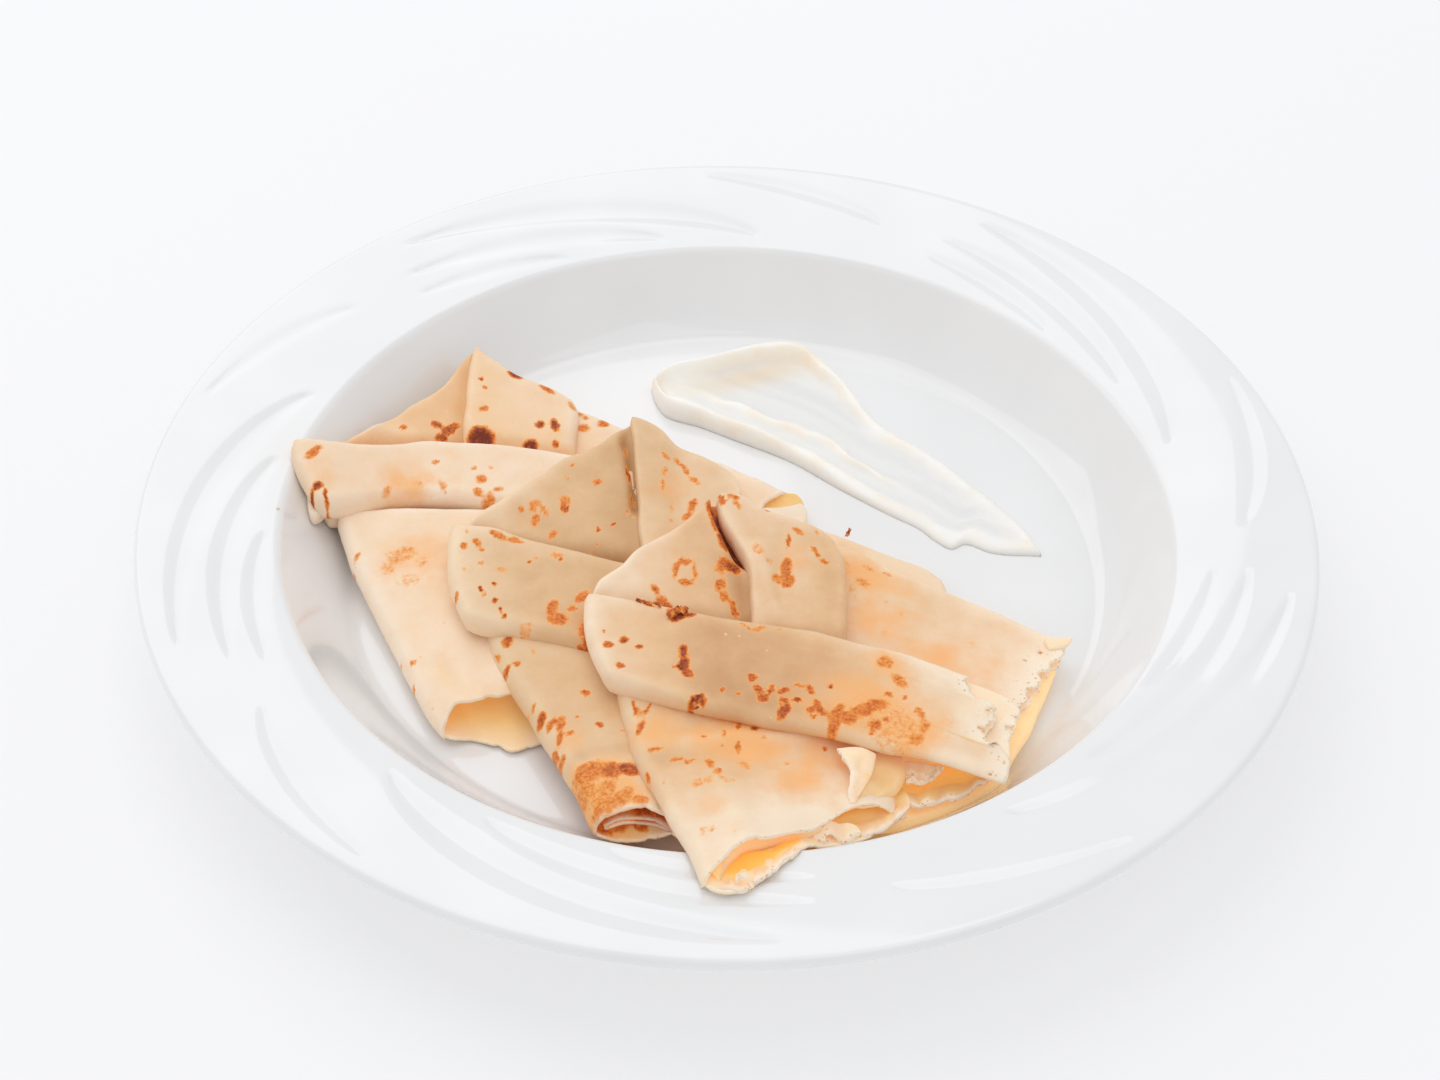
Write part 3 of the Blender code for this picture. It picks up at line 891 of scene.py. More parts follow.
    def paint(self, verts: np.ndarray, u: np.ndarray, v: np.ndarray,
              reach: dict[Edge, np.ndarray]) -> dict[str, np.ndarray]:
        """Work out what the finish reads at each point.

        Args:
            verts: points of the upper sheet, then of the lower one.
            u: share of the way from left to right.
            v: share of the way from near to far.
            reach: distance in mm from each edge.

        Returns:
            One value for each point, by its painted name.
        """
        x, y = verts[:, 0], verts[:, 1]
        # The tone is the batter's own brownness plus painted light: a highlight along the folds, shade in
        # sunk creases, and on facets and bands the near-side shade of tone_far.
        near_fold = both_sheets(1 - smooth(self.closest_fold(reach), 0.5, 6.0))
        tone = (np.interp(both_sheets(u), np.linspace(0, 1, len(self.tone)), self.tone)
                + np.interp(both_sheets(v), np.linspace(0, 1, len(self.tone_far)), self.tone_far)
                + self.grain(Grain.TONE, x, y) - FOLD_HIGHLIGHT * near_fold
                + CREASE_SHADE * np.clip(self.sunk_at(x, y), -1.0, 3.0))
        dry = np.zeros_like(x)
        golden, shine = np.full_like(x, self.gilt), np.full_like(x, self.through)
        if self.open_edge is not None:
            end = both_sheets(reach[self.open_edge])
            dry = self.bleach * (1 - smooth(end + self.grain(Grain.DRY_EDGE, x, y), 0.1, 1.5))
            if self.lace > 0:
                torn = end + self.grain(Grain.LACE_EDGE, x, y)
                dry = np.maximum(dry, LACE_DRY * (1 - smooth(torn, 0.0, self.lace * 1.5)))
            # Deeper inside the mouth the skin is painted orange for the shade in the cavity, and its
            # painted glow follows the same depth.
            if self.deep > 0:
                inward = smooth(end + self.grain(Grain.MOUTH, x, y), 2.4, 6.5)
                golden = golden + (self.deep - golden) * inward
                shine = shine + (np.clip(self.deep - 1.1, 0.1, 0.75) - shine) * inward
        return {"tone": tone, "toast": self.toast_at(x, y), "dry": dry,
                "blush": self.blush_at(x, y), "inside": golden, "through": shine}

    def round_corners(self, u: np.ndarray, v: np.ndarray, wide: np.ndarray, tall: np.ndarray,
                      reach: dict[Edge, np.ndarray]) -> tuple[np.ndarray, np.ndarray]:
        """Pull each corner between two folds in to a round one.

        Args:
            u: share of the way from left to right.
            v: share of the way from near to far.
            wide: distance in mm from left to right at each place.
            tall: distance in mm from near to far at each place.
            reach: distance in mm from each edge.

        Returns:
            The new shares.
        """
        r = self.corner
        new_u, new_v = u.copy(), v.copy()
        for side, way in ((LEFT, 1.0), (RIGHT, -1.0)):
            for end, up in ((NEAR, 1.0), (FAR, -1.0)):
                if self.open_edge in (side, end):
                    continue
                a, b = np.clip(r - reach[side], 0, r), np.clip(r - reach[end], 0, r)
                new_u = new_u + way * (a - a * np.sqrt(1 - b * b / (2 * r * r))) / wide
                new_v = new_v + up * (b - b * np.sqrt(1 - a * a / (2 * r * r))) / tall
        return new_u, new_v

    def tear(self, u: np.ndarray, v: np.ndarray, gap: np.ndarray,
             rails: tuple[Rail, Rail, Rail, Rail]) -> tuple[np.ndarray, np.ndarray]:
        """Make the open edge ragged.

        Args:
            u: share of the way from left to right.
            v: share of the way from near to far.
            gap: distance in mm from the open edge.
            rails: the far, near, left and right rails.

        Returns:
            The new shares.
        """
        far, near, left, right = rails
        along = u * near.length if self.open_edge is NEAR else v * right.length
        rough = (self.grain(Grain.TORN, along, np.full_like(along, self.seed))
                 + self.grain(Grain.TORN_FINE, along, np.full_like(along, 3.0)))
        inward = self.ragged * rough * np.clip(1 - gap / TORN_REACH, 0, 1)
        if self.open_edge is NEAR:
            return u, v + inward / max(left.length, 1.0)
        if self.open_edge is RIGHT:
            return u - inward / max(near.length, 1.0), v
        return u + inward / max(far.length, 1.0), v

    def between(self, u: np.ndarray, v: np.ndarray, rails: tuple[Rail, Rail, Rail, Rail]
                ) -> np.ndarray:
        """Points of the smooth patch between the four rails.

        Args:
            u: share of the way from left to right.
            v: share of the way from near to far.
            rails: the far, near, left and right rails.

        Returns:
            x, y and h of each point in mm.
        """
        far, near, left, right = rails
        u3, v3 = u[..., None], v[..., None]
        f, n = far.at(np.clip(u, 0, 1)), near.at(np.clip(u, 0, 1))
        l, r = left.at(np.clip(v, 0, 1)), right.at(np.clip(v, 0, 1))
        nl, nr, fl, fr = (rail.at(np.array(end)) for rail in (near, far) for end in (0.0, 1.0))
        corners = (nl * (1 - u3) + nr * u3) * (1 - v3) + (fl * (1 - u3) + fr * u3) * v3
        return n * (1 - v3) + f * v3 + l * (1 - u3) + r * u3 - corners

    def surface(self, u: np.ndarray, v: np.ndarray, reach: dict[Edge, np.ndarray],
                rails: tuple[Rail, Rail, Rail, Rail]) -> tuple[np.ndarray, np.ndarray]:
        """Upper and lower faces of the folded sheet.

        Args:
            u: share of the way from left to right.
            v: share of the way from near to far.
            reach: distance in mm from each edge.
            rails: the far, near, left and right rails.

        Returns:
            Points of the upper and of the lower face.
        """
        if self.open_edge is not None:
            u, v = self.tear(u, v, reach[self.open_edge], rails)
        x, y, h = np.moveaxis(self.between(u, v, rails), -1, 0)
        x = x + self.grain(Grain.DRIFT_X, x, y)
        y = y + self.grain(Grain.DRIFT_Y, x, y)
        h = (h + self.swell * self.grain(Grain.SWELL, x, y) + self.grain(Grain.DIMPLE, x, y)
             + self.grain(Grain.RIPPLE, x, y))
        depth = self.depth_at(u, v) * (1 + self.grain(Grain.DEPTH, x, y))
        closest = self.closest_fold(reach, SHARP)
        turn = np.sqrt(1 - (1 - np.clip(closest / self.roll, 0, 1)) ** 2)
        h = h - self.sunk_at(x, y) * turn
        top = h - depth / 2 * (1 - turn)
        low = h - depth / 2 * (1 + turn)
        lx, ly = x, y
        if self.open_edge is not None:
            gap = reach[self.open_edge]
            line = np.clip(u if self.open_edge is NEAR else v, 0, 1)
            loose = np.clip(1 - gap / LOOSE_REACH, 0, 1) ** 1.5
            top = top + self.wave * loose * turn * self.grain(
                Grain.WAVE, line * 60, np.full_like(line, self.seed))
            low = low - self.belly * smooth(closest, 1.5, 8.0)
            if self.under:
                lower = Rail(self.under).at(line)
                upper = rails[1 if self.open_edge is NEAR else 3].at(line)
                ease = 1 - smooth(gap, 0.0, EASE_REACH)
                lx = lx + (lower[..., 0] - upper[..., 0]) * ease
                ly = ly + (lower[..., 1] - upper[..., 1]) * ease
                low = low * (1 - ease) + (lower[..., 2] - 0.3) * ease
                top = np.where(turn > 0.02, np.maximum(top, low + 0.25 * turn), top)
        low = np.maximum(low, PLATE.height(np.hypot(lx, ly)) + CLEARANCE)
        top = np.maximum(top, PLATE.height(np.hypot(x, y)) + CLEARANCE + 0.9 * turn)
        shared = turn < 1e-6
        low = np.where(shared, top, low)
        lx, ly = np.where(shared, x, lx), np.where(shared, y, ly)
        return np.stack([x, y, top + FLOOR_TOP], axis=-1), np.stack([lx, ly, low + FLOOR_TOP], axis=-1)


def thicken(verts: np.ndarray, faces: np.ndarray, layers: dict[str, np.ndarray],
            wall: float, crisp: float, golden: np.ndarray
            ) -> tuple[np.ndarray, np.ndarray, dict[str, np.ndarray]]:
    """Give an open sheet its real thickness inwards, with a rim along every open edge.

    Args:
        verts: points in mm.
        faces: four corners of each face, seen from outside.
        layers: painted values of each point.
        wall: thickness in mm.
        crisp: share of the browning that shows on the inner face.
        golden: how golden the inner face is behind each point.

    Returns:
        The points, faces and layers of the closed skin.
    """
    p = verts[faces]
    normal = np.cross(p[:, 2] - p[:, 0], p[:, 3] - p[:, 1])
    total = np.zeros_like(verts)
    for k in range(4):
        np.add.at(total, faces[:, k], normal)
    size = np.linalg.norm(total, axis=1, keepdims=True)
    inner = verts - wall * total / np.maximum(size, 1e-9)
    count = len(verts)
    edges = np.concatenate([faces[:, [k, (k + 1) % 4]] for k in range(4)])
    _, first, counts = np.unique(np.sort(edges, axis=1), axis=0, return_index=True,
                                 return_counts=True)
    rim = edges[first[counts == 1]]
    rim = rim[rim[:, 0] != rim[:, 1]]
    band = np.stack([rim[:, 1], rim[:, 0], rim[:, 0] + count, rim[:, 1] + count], axis=-1)
    inside = faces[:, ::-1] + count
    doubled = {key: np.concatenate([values, values]) for key, values in layers.items()}
    doubled["toast"][count:] = crisp * layers["toast"]
    doubled["inside"][count:] = golden
    # The inner face gets a painted glow.
    doubled["through"][count:] = LINING_GLOW
    return np.vstack([verts, inner]), np.vstack([faces, inside, band]), doubled


@dataclass
class FoldedCrepe:
    """One crepe, folded into quarters and its tails tucked under, as the layers that show."""
    node: str
    finish: BakedBatter
    lower: list[Layer]
    upper: list[Layer]

    def build(self) -> list[bpy.types.Object]:
        """Build and dress the crepe in two pieces, its tails and its folded top.

        Returns:
            The pieces.
        """
        material = self.finish.make()
        pieces = []
        for part, layers in (("tails", self.lower), ("folds", self.upper)):
            skins = [layer.build() for layer in layers]
            verts, faces = join([skin[:2] for skin in skins])
            painted = {key: np.concatenate([skin[2][key] for skin in skins]) for key in PAINTED}
            piece = make_object(f"{self.node}_{part}", verts, faces, painted, material)
            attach(piece, "root")
            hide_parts(self.node)
            pieces.append(piece)
        return pieces


def left_crepe() -> FoldedCrepe:
    """The palest crepe, at the back left, over the plate's wall."""
    finish = BakedBatter("batter_pale", "#FFE8D0", "#F7CFA2", "#DFA568")
    arm = Layer(
        far=((-64, 65, 8), (-39, 52.5, 7), (-32, 48.5, 7), (-13, 38.5, 6.5), (2, 30.5, 6.8),
             (10, 25, 7), (15, 21.6, 7.2)),
        near=((-58, 10, 8), (-20, 2, 6), (9, -2, 4)), left=((-62, 40, 8),),
        right=((9, 8, 4.5), (9, 14, 5.2), (10, 17.4, 6.2), (12, 18.8, 6.8)), open_edge=RIGHT,
        depth=(6, 3, 4.5, 6),
        tone=(0.28, 0.2), seed=3, roll=2.6,
        marks=((-38.5, 49.5, 1.3, 0.5, 1.2, -30), (-37, 44, 1.7, 0.55), (-36.5, 48, 0.9, 0.5),
               (-32, 46, 1.7, 0.6)))
    lining = Layer(
        far=((6, 26, 5.6), (14.6, 21.6, 6.8), (17.4, 22, 6.2)), near=((7, 12, 4), (18, 14, 3.4)),
        right=((19.2, 18.4, 3.8), (18.8, 20.8, 4.8)), depth=(1.6, 1.6, 2.6, 2.6), tone=(0.5, 0.5), seed=4,
        roll=1.2, corner=1.5, gilt=0.85, through=0.14, swell=0.1)
    cuff = Layer(
        far=((8, 16.9, 5.8), (13.5, 17.6, 5.4), (18.8, 20, 4.9)), near=((7, 2, 3.6), (18, 9, 3.2)),
        right=((19.4, 13.5, 3.6), (19.7, 17.4, 4.4)), depth=(2.6, 2, 1.8, 2), tone=(0.1, 0.1), seed=6,
        roll=1.2, corner=1.5, swell=0.15, through=0.05)
    leg = Layer(
        far=((-96, 6, 12), (-70, 8, 13), (-46, 8, 12)),
        near=((-63.5, -61, 5), (-61.5, -56, 8.2), (-57, -55, 9.5), (-54, -54, 9), (-49, -51.5, 8.5),
              (-42, -49, 8)),
        left=((-67, -56, 5.5), (-72, -47, 6), (-79, -32, 7), (-89, -11, 9.5)), right=((-40, -20, 10),),
        open_edge=NEAR, under=((-63.5, -61, 3), (-57, -59.5, 1), (-52, -61, 1), (-48, -63, 1),
                               (-45, -62, 1), (-41, -60, 1)),
        depth=(4, 7.5, 10, 8), tone=(0.18, 0.2, 0.24), seed=5, roll=2.6, through=0.05, ragged=0.8,
        bleach=0.3,
        blush=((-72, -10, 13, 0.5, 1.6, 10), (-77, -12, 6, 0.6, 1.3, 30)),
        creases=((-67, -40, -60, -54, 2.0, 0.7), (-52, -30, -50, -50, 3.0, -0.8)),
        marks=((-90.5, -11, 1.4, 0.7, 2.8, -55), (-88.5, -8.5, 1.2, 0.5, 1.9, 65),
               (-78, -9, 3.3, 0.38, 1.6, 25), (-80.5, -12.5, 2.2, 0.34), (-73, -11.5, 1.9, 0.32),
               (-75.5, -16.5, 2.7, 0.3, 1.5, 0), (-72, -41.5, 0.8, 0.55),
               (-71.5, -48, 0.8, 0.5, 3.6, 90), (-75.5, -40, 0.4, 0.4), (-65.5, -42.5, 5.2, 0.14)))
    facet_left = Layer(
        far=((-105, 22, 21.5), (-98, 24.5, 19.5), (-91, 31, 17.5), (-84, 40, 14.5),
             (-80.5, 45, 14.5), (-75.5, 50, 14), (-69.5, 62, 14), (-66, 68, 14.5)),
        near=((-98, 4, 13), (-80, 10, 12), (-63, 13, 10)), right=((-63, 24, 10.5), (-64, 40, 12.5),
                                                                 (-65, 55, 13)),
        depth=(8, 8, 8, 8), tone=(0.3, 0.55, 0.7), seed=7, roll=3.2,
        creases=((-90, 33, -77, 31, 3.0, -0.7), (-66, 30, -67, 60, 2.6, 1.0),
                 (-108, 22.5, -62, 30.5, 3.4, 3.0)),
        marks=((-83, 42, 1.6, 0.85, 1.9, 50), (-81.5, 35, 1, 0.7), (-92, 31, 1.2, 0.7, 1.9, -55),
               (-73.5, 37.5, 1.4, 0.85, 1.7, -40), (-70.5, 36, 1.7, 0.8, 1.3, -15),
               (-69, 38, 1.5, 0.75, 1.3, 30), (-72, 33.5, 1.5, 0.8, 1.2, 15), (-67.5, 30.5, 0.9, 0.7)))
    facet_right = Layer(
        far=((-66.5, 68.5, 15.5), (-61, 63, 14.5), (-53, 58.5, 12.5), (-44, 55.5, 11),
             (-39, 52.5, 10)),
        near=((-66, 18, 11.5), (-52, 18, 10.5), (-38, 18, 9.5)), left=((-66.5, 30, 13), (-67, 40, 14),
                                                               (-67.5, 55, 14.5)),
        right=((-38, 26, 10.5), (-38.5, 36, 10.5), (-38.5, 46, 10)), depth=(5, 5, 5, 5.5),
        tone=(0.42, 0.3, 0.3), tone_far=(0.14, 0.0), seed=9, roll=2.4,
        creases=((-70, 31, -34, 29.5, 2.8, 2.2),),
        marks=((-62, 33, 3.3, 1), (-63.5, 54.5, 0.5, 0.9), (-62.5, 51.5, 0.9, 0.5),
               (-62, 43, 1.4, 0.55, 1.4, 40), (-54.5, 58, 1.9, 0.85, 1.4, -10),
               (-46.5, 54, 1.6, 0.6, 2.1, -35), (-47.5, 39.5, 1.4, 0.85, 1.7, 75),
               (-44, 40, 1.8, 0.85, 2.3, 100), (-49.5, 32, 1.8, 0.95), (-43.5, 33, 1, 0.75),
               (-41, 30.5, 0.9, 0.7), (-40, 49, 1.4, 0.45, 2.1, -65)))
    band = Layer(
        far=((-107.5, 20.5, 23.5), (-99, 21.5, 22.5), (-90, 23, 20), (-73, 28, 17),
             (-56, 29, 15.5), (-39, 27, 14), (-22, 22, 13), (-10, 17, 12)),
        near=((-99.5, 2.5, 18), (-96, 2.5, 17.2), (-82, 8, 15), (-66, 9.5, 13.5), (-45, 7.5, 12.5),
              (-26, 3, 11), (-14, -6, 10)),
        left=((-104, 10, 20.5),), depth=(7.5, 6, 6, 6.5),
        tone=(0.36, 0.2, 0.22, 0.3), seed=13, roll=2.8,
        blush=((-78, 13, 10, 0.62, 1.5, 10), (-98, 12, 8, 0.3)),
        marks=((-101, 16, 2, 0.55, 2.2, 55), (-100.5, 4, 1, 0.85, 2.4, 80), (-99, 6.5, 1.1, 0.9),
               (-97, 4.5, 1, 0.85, 3.6, -75), (-72, 20, 1, 0.5), (-62.5, 19, 0.9, 0.45),
               (-58.5, 19.5, 1, 0.35), (-60.5, 15.5, 1.7, 0.5), (-56, 12.5, 1.2, 0.5, 1.3, 0),
               (-61, 11.5, 1.2, 0.5, 1.2, -25), (-57.5, 10, 1.3, 0.45, 2.1, -65),
               (-58.5, 9.5, 1.4, 0.45, 1.4, 30), (-83, 9.5, 1.5, 0.38, 1.6, 60),
               (-75.5, 12.5, 1.2, 0.36, 1.5, -25), (-69.5, 12.5, 1.5, 0.36, 2.5, -70),
               (-76.5, 12, 6.8, 0.16)))
    nose = Layer(
        far=((-103, 11, 15.5), (-99.5, 10, 15), (-96, 11, 14.5)),
        near=((-102, 3.4, 13.5), (-100.2, 1.8, 13), (-98, 3.5, 13)), depth=(3.4, 3.4, 3.4, 3.4),
        tone=(0.0, 0.0), seed=15, roll=1.7, corner=2.6)
    return FoldedCrepe("crepe_left", finish, [arm, lining, cuff, leg],
                       [nose, facet_left, facet_right, band])


def middle_crepe() -> FoldedCrepe:
    """The tan crepe in the middle, lying on the left one."""
    finish = BakedBatter("batter_tan", "#F9DEBC", "#E6BE90", "#BE8C58")
    arm = Layer(
        far=((-22, 33, 9.5), (4, 18, 8), (13, 13, 7.3), (28, 6.5, 6.2), (39, 1.5, 5.3),
             (48, -2.5, 4.7), (53, -7, 4.3)),
        near=((-14, -26, 8), (20, -28, 6), (50, -26, 4)), depth=(7, 4, 4.6, 8), right=((54, -15, 4.2),),
        tone=(0.3, 0.1, 0.05), seed=23, roll=2.2, blush=((30, 0, 8, 0.3, 2, -25),))
    leg = Layer(
        far=((-57, -28, 13.5), (-30, -30, 14), (-8, -33, 13)),
        near=((-27.5, -92, 10), (-26.3, -91.8, 11.3), (-22.7, -90.5, 12.6), (-18.8, -90, 13.2),
              (-15.3, -90.7, 13), (-11.9, -92, 12), (-9.5, -93, 10.5)),
        left=((-29.5, -88, 10.5), (-34, -79, 10.5), (-38, -71, 10.5), (-45, -58, 11), (-52.5, -44, 12)),
        right=((-8, -60, 12),), open_edge=NEAR,
        under=((-27.5, -92, 6), (-23.4, -92.3, 4.6), (-18, -92, 4.4), (-15.6, -91.6, 4.6),
               (-10.8, -91.2, 5.5), (-9.5, -93, 7)),
        depth=(6, 6, 8, 7),
        tone=(0.3, 0.36), tone_far=(-0.3, 0.0, 0.12, 0.05, -0.2), seed=25, roll=3.0, through=0.03,
        blush=((-25, -88, 10, 1.4), (-28, -81, 9, 1.1), (-35, -70, 6, 0.5)),
        crisp=1.1,
        creases=((-36, -78, -31, -73, 1.6, 0.8), (-31, -73.5, -20, -73, 1.4, 0.7)),
        marks=((-50, -39.5, 1.6, 0.7, 1.8, 80), (-47.5, -46.5, 1, 0.62), (-50, -47.5, 1.3, 0.65, 2, 55),
               (-52, -43.5, 0.8, 0.75, 5.5, -65), (-44, -43, 0.5, 0.5), (-31.5, -56, 0.9, 0.7, 1.5, -45),
               (-28, -65.5, 0.9, 0.75, 1.6, -45), (-33, -63, 0.3, 0.7), (-22.5, -67.5, 0.4, 0.5),
               (-41, -62, 1.5, 0.72, 1.8, 85), (-38.5, -64, 1.3, 0.62, 1.8, 70),
               (-36.5, -64.5, 1.6, 0.6, 2.1, 80), (-36.5, -68, 1.5, 0.58, 3.2, 85),
               (-34.5, -67.5, 1, 0.5, 1.7, 0), (-43, -58.5, 0.9, 0.55, 2.2, 70),
               (-44.5, -60, 1, 0.65, 2.8, 85), (-37.5, -71.5, 1, 0.6, 2.4, -55),
               (-36, -74.5, 1.3, 0.55, 2.6, 75), (-29.5, -79, 3.7, 0.56, 1.2, 30),
               (-24.5, -79, 2.7, 0.66, 1.2, -10), (-21, -79, 2.2, 0.8, 1.4, -25),
               (-30.5, -84, 3.4, 0.46, 1.6, 70), (-26, -85, 3.7, 0.44, 1.7, 70),
               (-26, -89.5, 2.6, 0.5, 1.3, 40), (-22, -87, 2.9, 0.5, 1.6, 50),
               (-18, -88, 1.9, 0.55, 1.6, -25)))
    inner = Layer(
        far=((-30, -80, 10), (-12, -80, 10)),
        near=((-26, -90.5, 8.5), (-22, -90, 9.8), (-16, -90.2, 9.6), (-11, -91, 8)),
        open_edge=NEAR, depth=(2.2, 2.2, 3, 3), tone=(0.9, 0.9), seed=27, roll=1.0, wave=0.5,
        marks=((-23, -88, 7, 0.42), (-14, -88, 6, 0.72)), crisp=1.0)
    facet_left = Layer(
        far=((-64, -5, 18), (-60, 3, 16.5), (-54.5, 9.5, 15.7), (-46.5, 17.5, 15.5),
             (-39.5, 25, 15.5), (-33.5, 28.5, 16), (-29, 33, 16.6), (-24, 38, 17)),
        near=((-60, -17, 10.5), (-40, -21, 10), (-17, -25, 10.5)),
        right=((-18.5, -9, 13.2), (-19, 1, 14), (-20, 13, 14.5), (-21, 25, 15.2)),
        depth=(8, 8, 8, 8), tone=(0.0, 0.4, 0.66), tone_far=(0.12, 0.0), seed=31, roll=3.2,
        creases=((-25.5, 34, -22.4, 4, 1.3, 2.6), (-52, 4, -38, -4, 3.0, 0.6),
                 (-70, -4, -18, -14, 3.6, 3.4)),
        marks=((-32, 15, 1.3, 0.62), (-39.5, 8.5, 1.7, 0.5), (-39.5, 6, 1.2, 0.85, 1.3, -40),
               (-50, 5, 0.9, 0.5), (-47, 6.5, 1.6, 0.48, 1.7, 70), (-44.5, 5, 1.5, 0.5, 3, -60),
               (-46.5, 2, 1.6, 0.55, 1.9, 80), (-42, -2, 1.3, 0.48, 1.8, 70), (-38.5, 20.5, 0.4, 0.6),
               (-39.5, 16, 0.4, 0.5), (-35, 8, 0.7, 0.35), (-31, -1, 0.3, 0.95),
               (-27.5, 0.5, 0.3, 0.95), (-24, 4.5, 0.5, 0.75), (-31, -6, 0.4, 0.6),
               # The last four marks, long and narrow along the crease to the right facet, are painted shade
               # in that crease.
               (-32.5, -7.5, 0.4, 0.55), (-25.8, 27, 1.0, 0.6, 4.5, -80), (-24.6, 19, 1.2, 0.85, 5, -80),
               (-23.3, 10, 1.0, 0.66, 5, -80), (-22.5, 3, 0.8, 0.45, 4, -85)))
    facet_right = Layer(
        far=((-25, 38, 18.3), (-21, 38, 17), (-17, 36, 16), (-13, 31.5, 14),
             (-5, 27.5, 13), (1, 23, 12), (4, 15.5, 12)),
        near=((-19, -24, 12.5), (-1, -26, 11)), left=((-20.5, -9, 15.5), (-21.5, 1, 15.7),
                                                     (-22.5, 13, 16), (-23.5, 26, 17)),
        right=((0, -10, 12.8), (3, 5, 12.5)), depth=(6, 6, 6, 6), tone=(0.5, 0.3, 0.2), seed=33, roll=2.6,
        blush=((-13, 15, 8, 0.35, 1.6, 80),), creases=((-24, -14, 6, -20.5, 3.0, 2.4),), tight=(LEFT,),
        marks=((-15.5, 24.5, 1.2, 0.5, 1.8, -50), (-12.5, 23.5, 1.2, 0.5, 2.3, -60),
               (-10.5, 21, 1.4, 0.5, 2.4, -70), (-8.5, 17.5, 1, 0.5), (-7.5, 16, 0.9, 0.45),
               (-15.5, 19, 1.2, 0.45, 2.9, 85), (-16, 14, 1.5, 0.5, 2.9, 85),
               (-8.5, 8, 1.7, 0.62, 2.5, 75), (-9.5, 4, 1.5, 0.55, 1.9, 60),
               (-13.5, 6, 1.1, 0.4, 3.3, 90), (-13.5, 1.5, 1, 0.36)))
    band = Layer(
        far=((-66.5, -6, 20.3), (-56, -6.5, 20), (-46, -10, 19), (-34, -13, 18.6),
             (-23, -15, 17), (8, -23, 13)),
        near=((-60.5, -35, 17), (-57, -37, 17), (-48, -38.8, 16.7), (-35, -42, 16.5),
              (-29, -44, 16.2), (6, -50, 13)),
        left=((-65.5, -20, 18.7),), depth=(6.5, 6, 6, 6), tone=(0.06, 0.5, 0.66, 0.6),
        tone_far=(0.1, 0.0), seed=37, roll=2.8, swell=0.6,
        creases=((-55, -16, -44, -24, 3.0, 0.5), (-42, -30, -30, -33, 3.0, -0.5)),
        blush=((-34, -36, 6, 0.3, 1.6, 60),),
        marks=((-61.5, -10, 0.7, 0.5), (-62, -14.5, 1.1, 0.6), (-59, -13, 1.1, 0.58), (-58, -15, 0.8, 0.55),
               (-57.5, -19.5, 0.8, 0.5), (-52.5, -21, 1.4, 0.42), (-61.5, -21.5, 0.5, 0.5),
               (-54, -10.5, 1.7, 0.55, 2.2, -30), (-50, -11.5, 1.4, 0.55, 2.4, -20),
               (-45, -17, 0.8, 0.5), (-40, -16, 1.4, 0.45, 1.8, -5), (-46.5, -18, 0.3, 0.98),
               (-57, -28, 0.7, 1, 1.6, -55), (-54, -26, 0.3, 0.98), (-56, -29.5, 0.7, 0.5),
               (-53.5, -31, 0.3, 0.9), (-52, -33.5, 0.3, 0.98), (-51, -35.5, 0.2, 0.95),
               (-62.5, -29, 0.8, 0.6, 2.4, 90), (-40, -32.5, 1.9, 0.62, 2.1, 80),
               (-38.5, -36, 2.4, 0.6, 1.2, -15), (-35.5, -33, 1.2, 0.55), (-33.5, -29, 1.9, 0.6, 1.9, 60),
               (-32, -38, 2.2, 0.65, 2, 70), (-31.5, -41.5, 1.8, 0.75, 2.2, 80),
               (-33, -43.5, 1.4, 0.8, 1.9, -25), (-46, -38.5, 1.6, 0.36, 1.3, 30),
               (-39, -17.5, 0.3, 0.9)))
    return FoldedCrepe("crepe_middle", finish, [arm, leg, inner], [facet_left, facet_right, band])


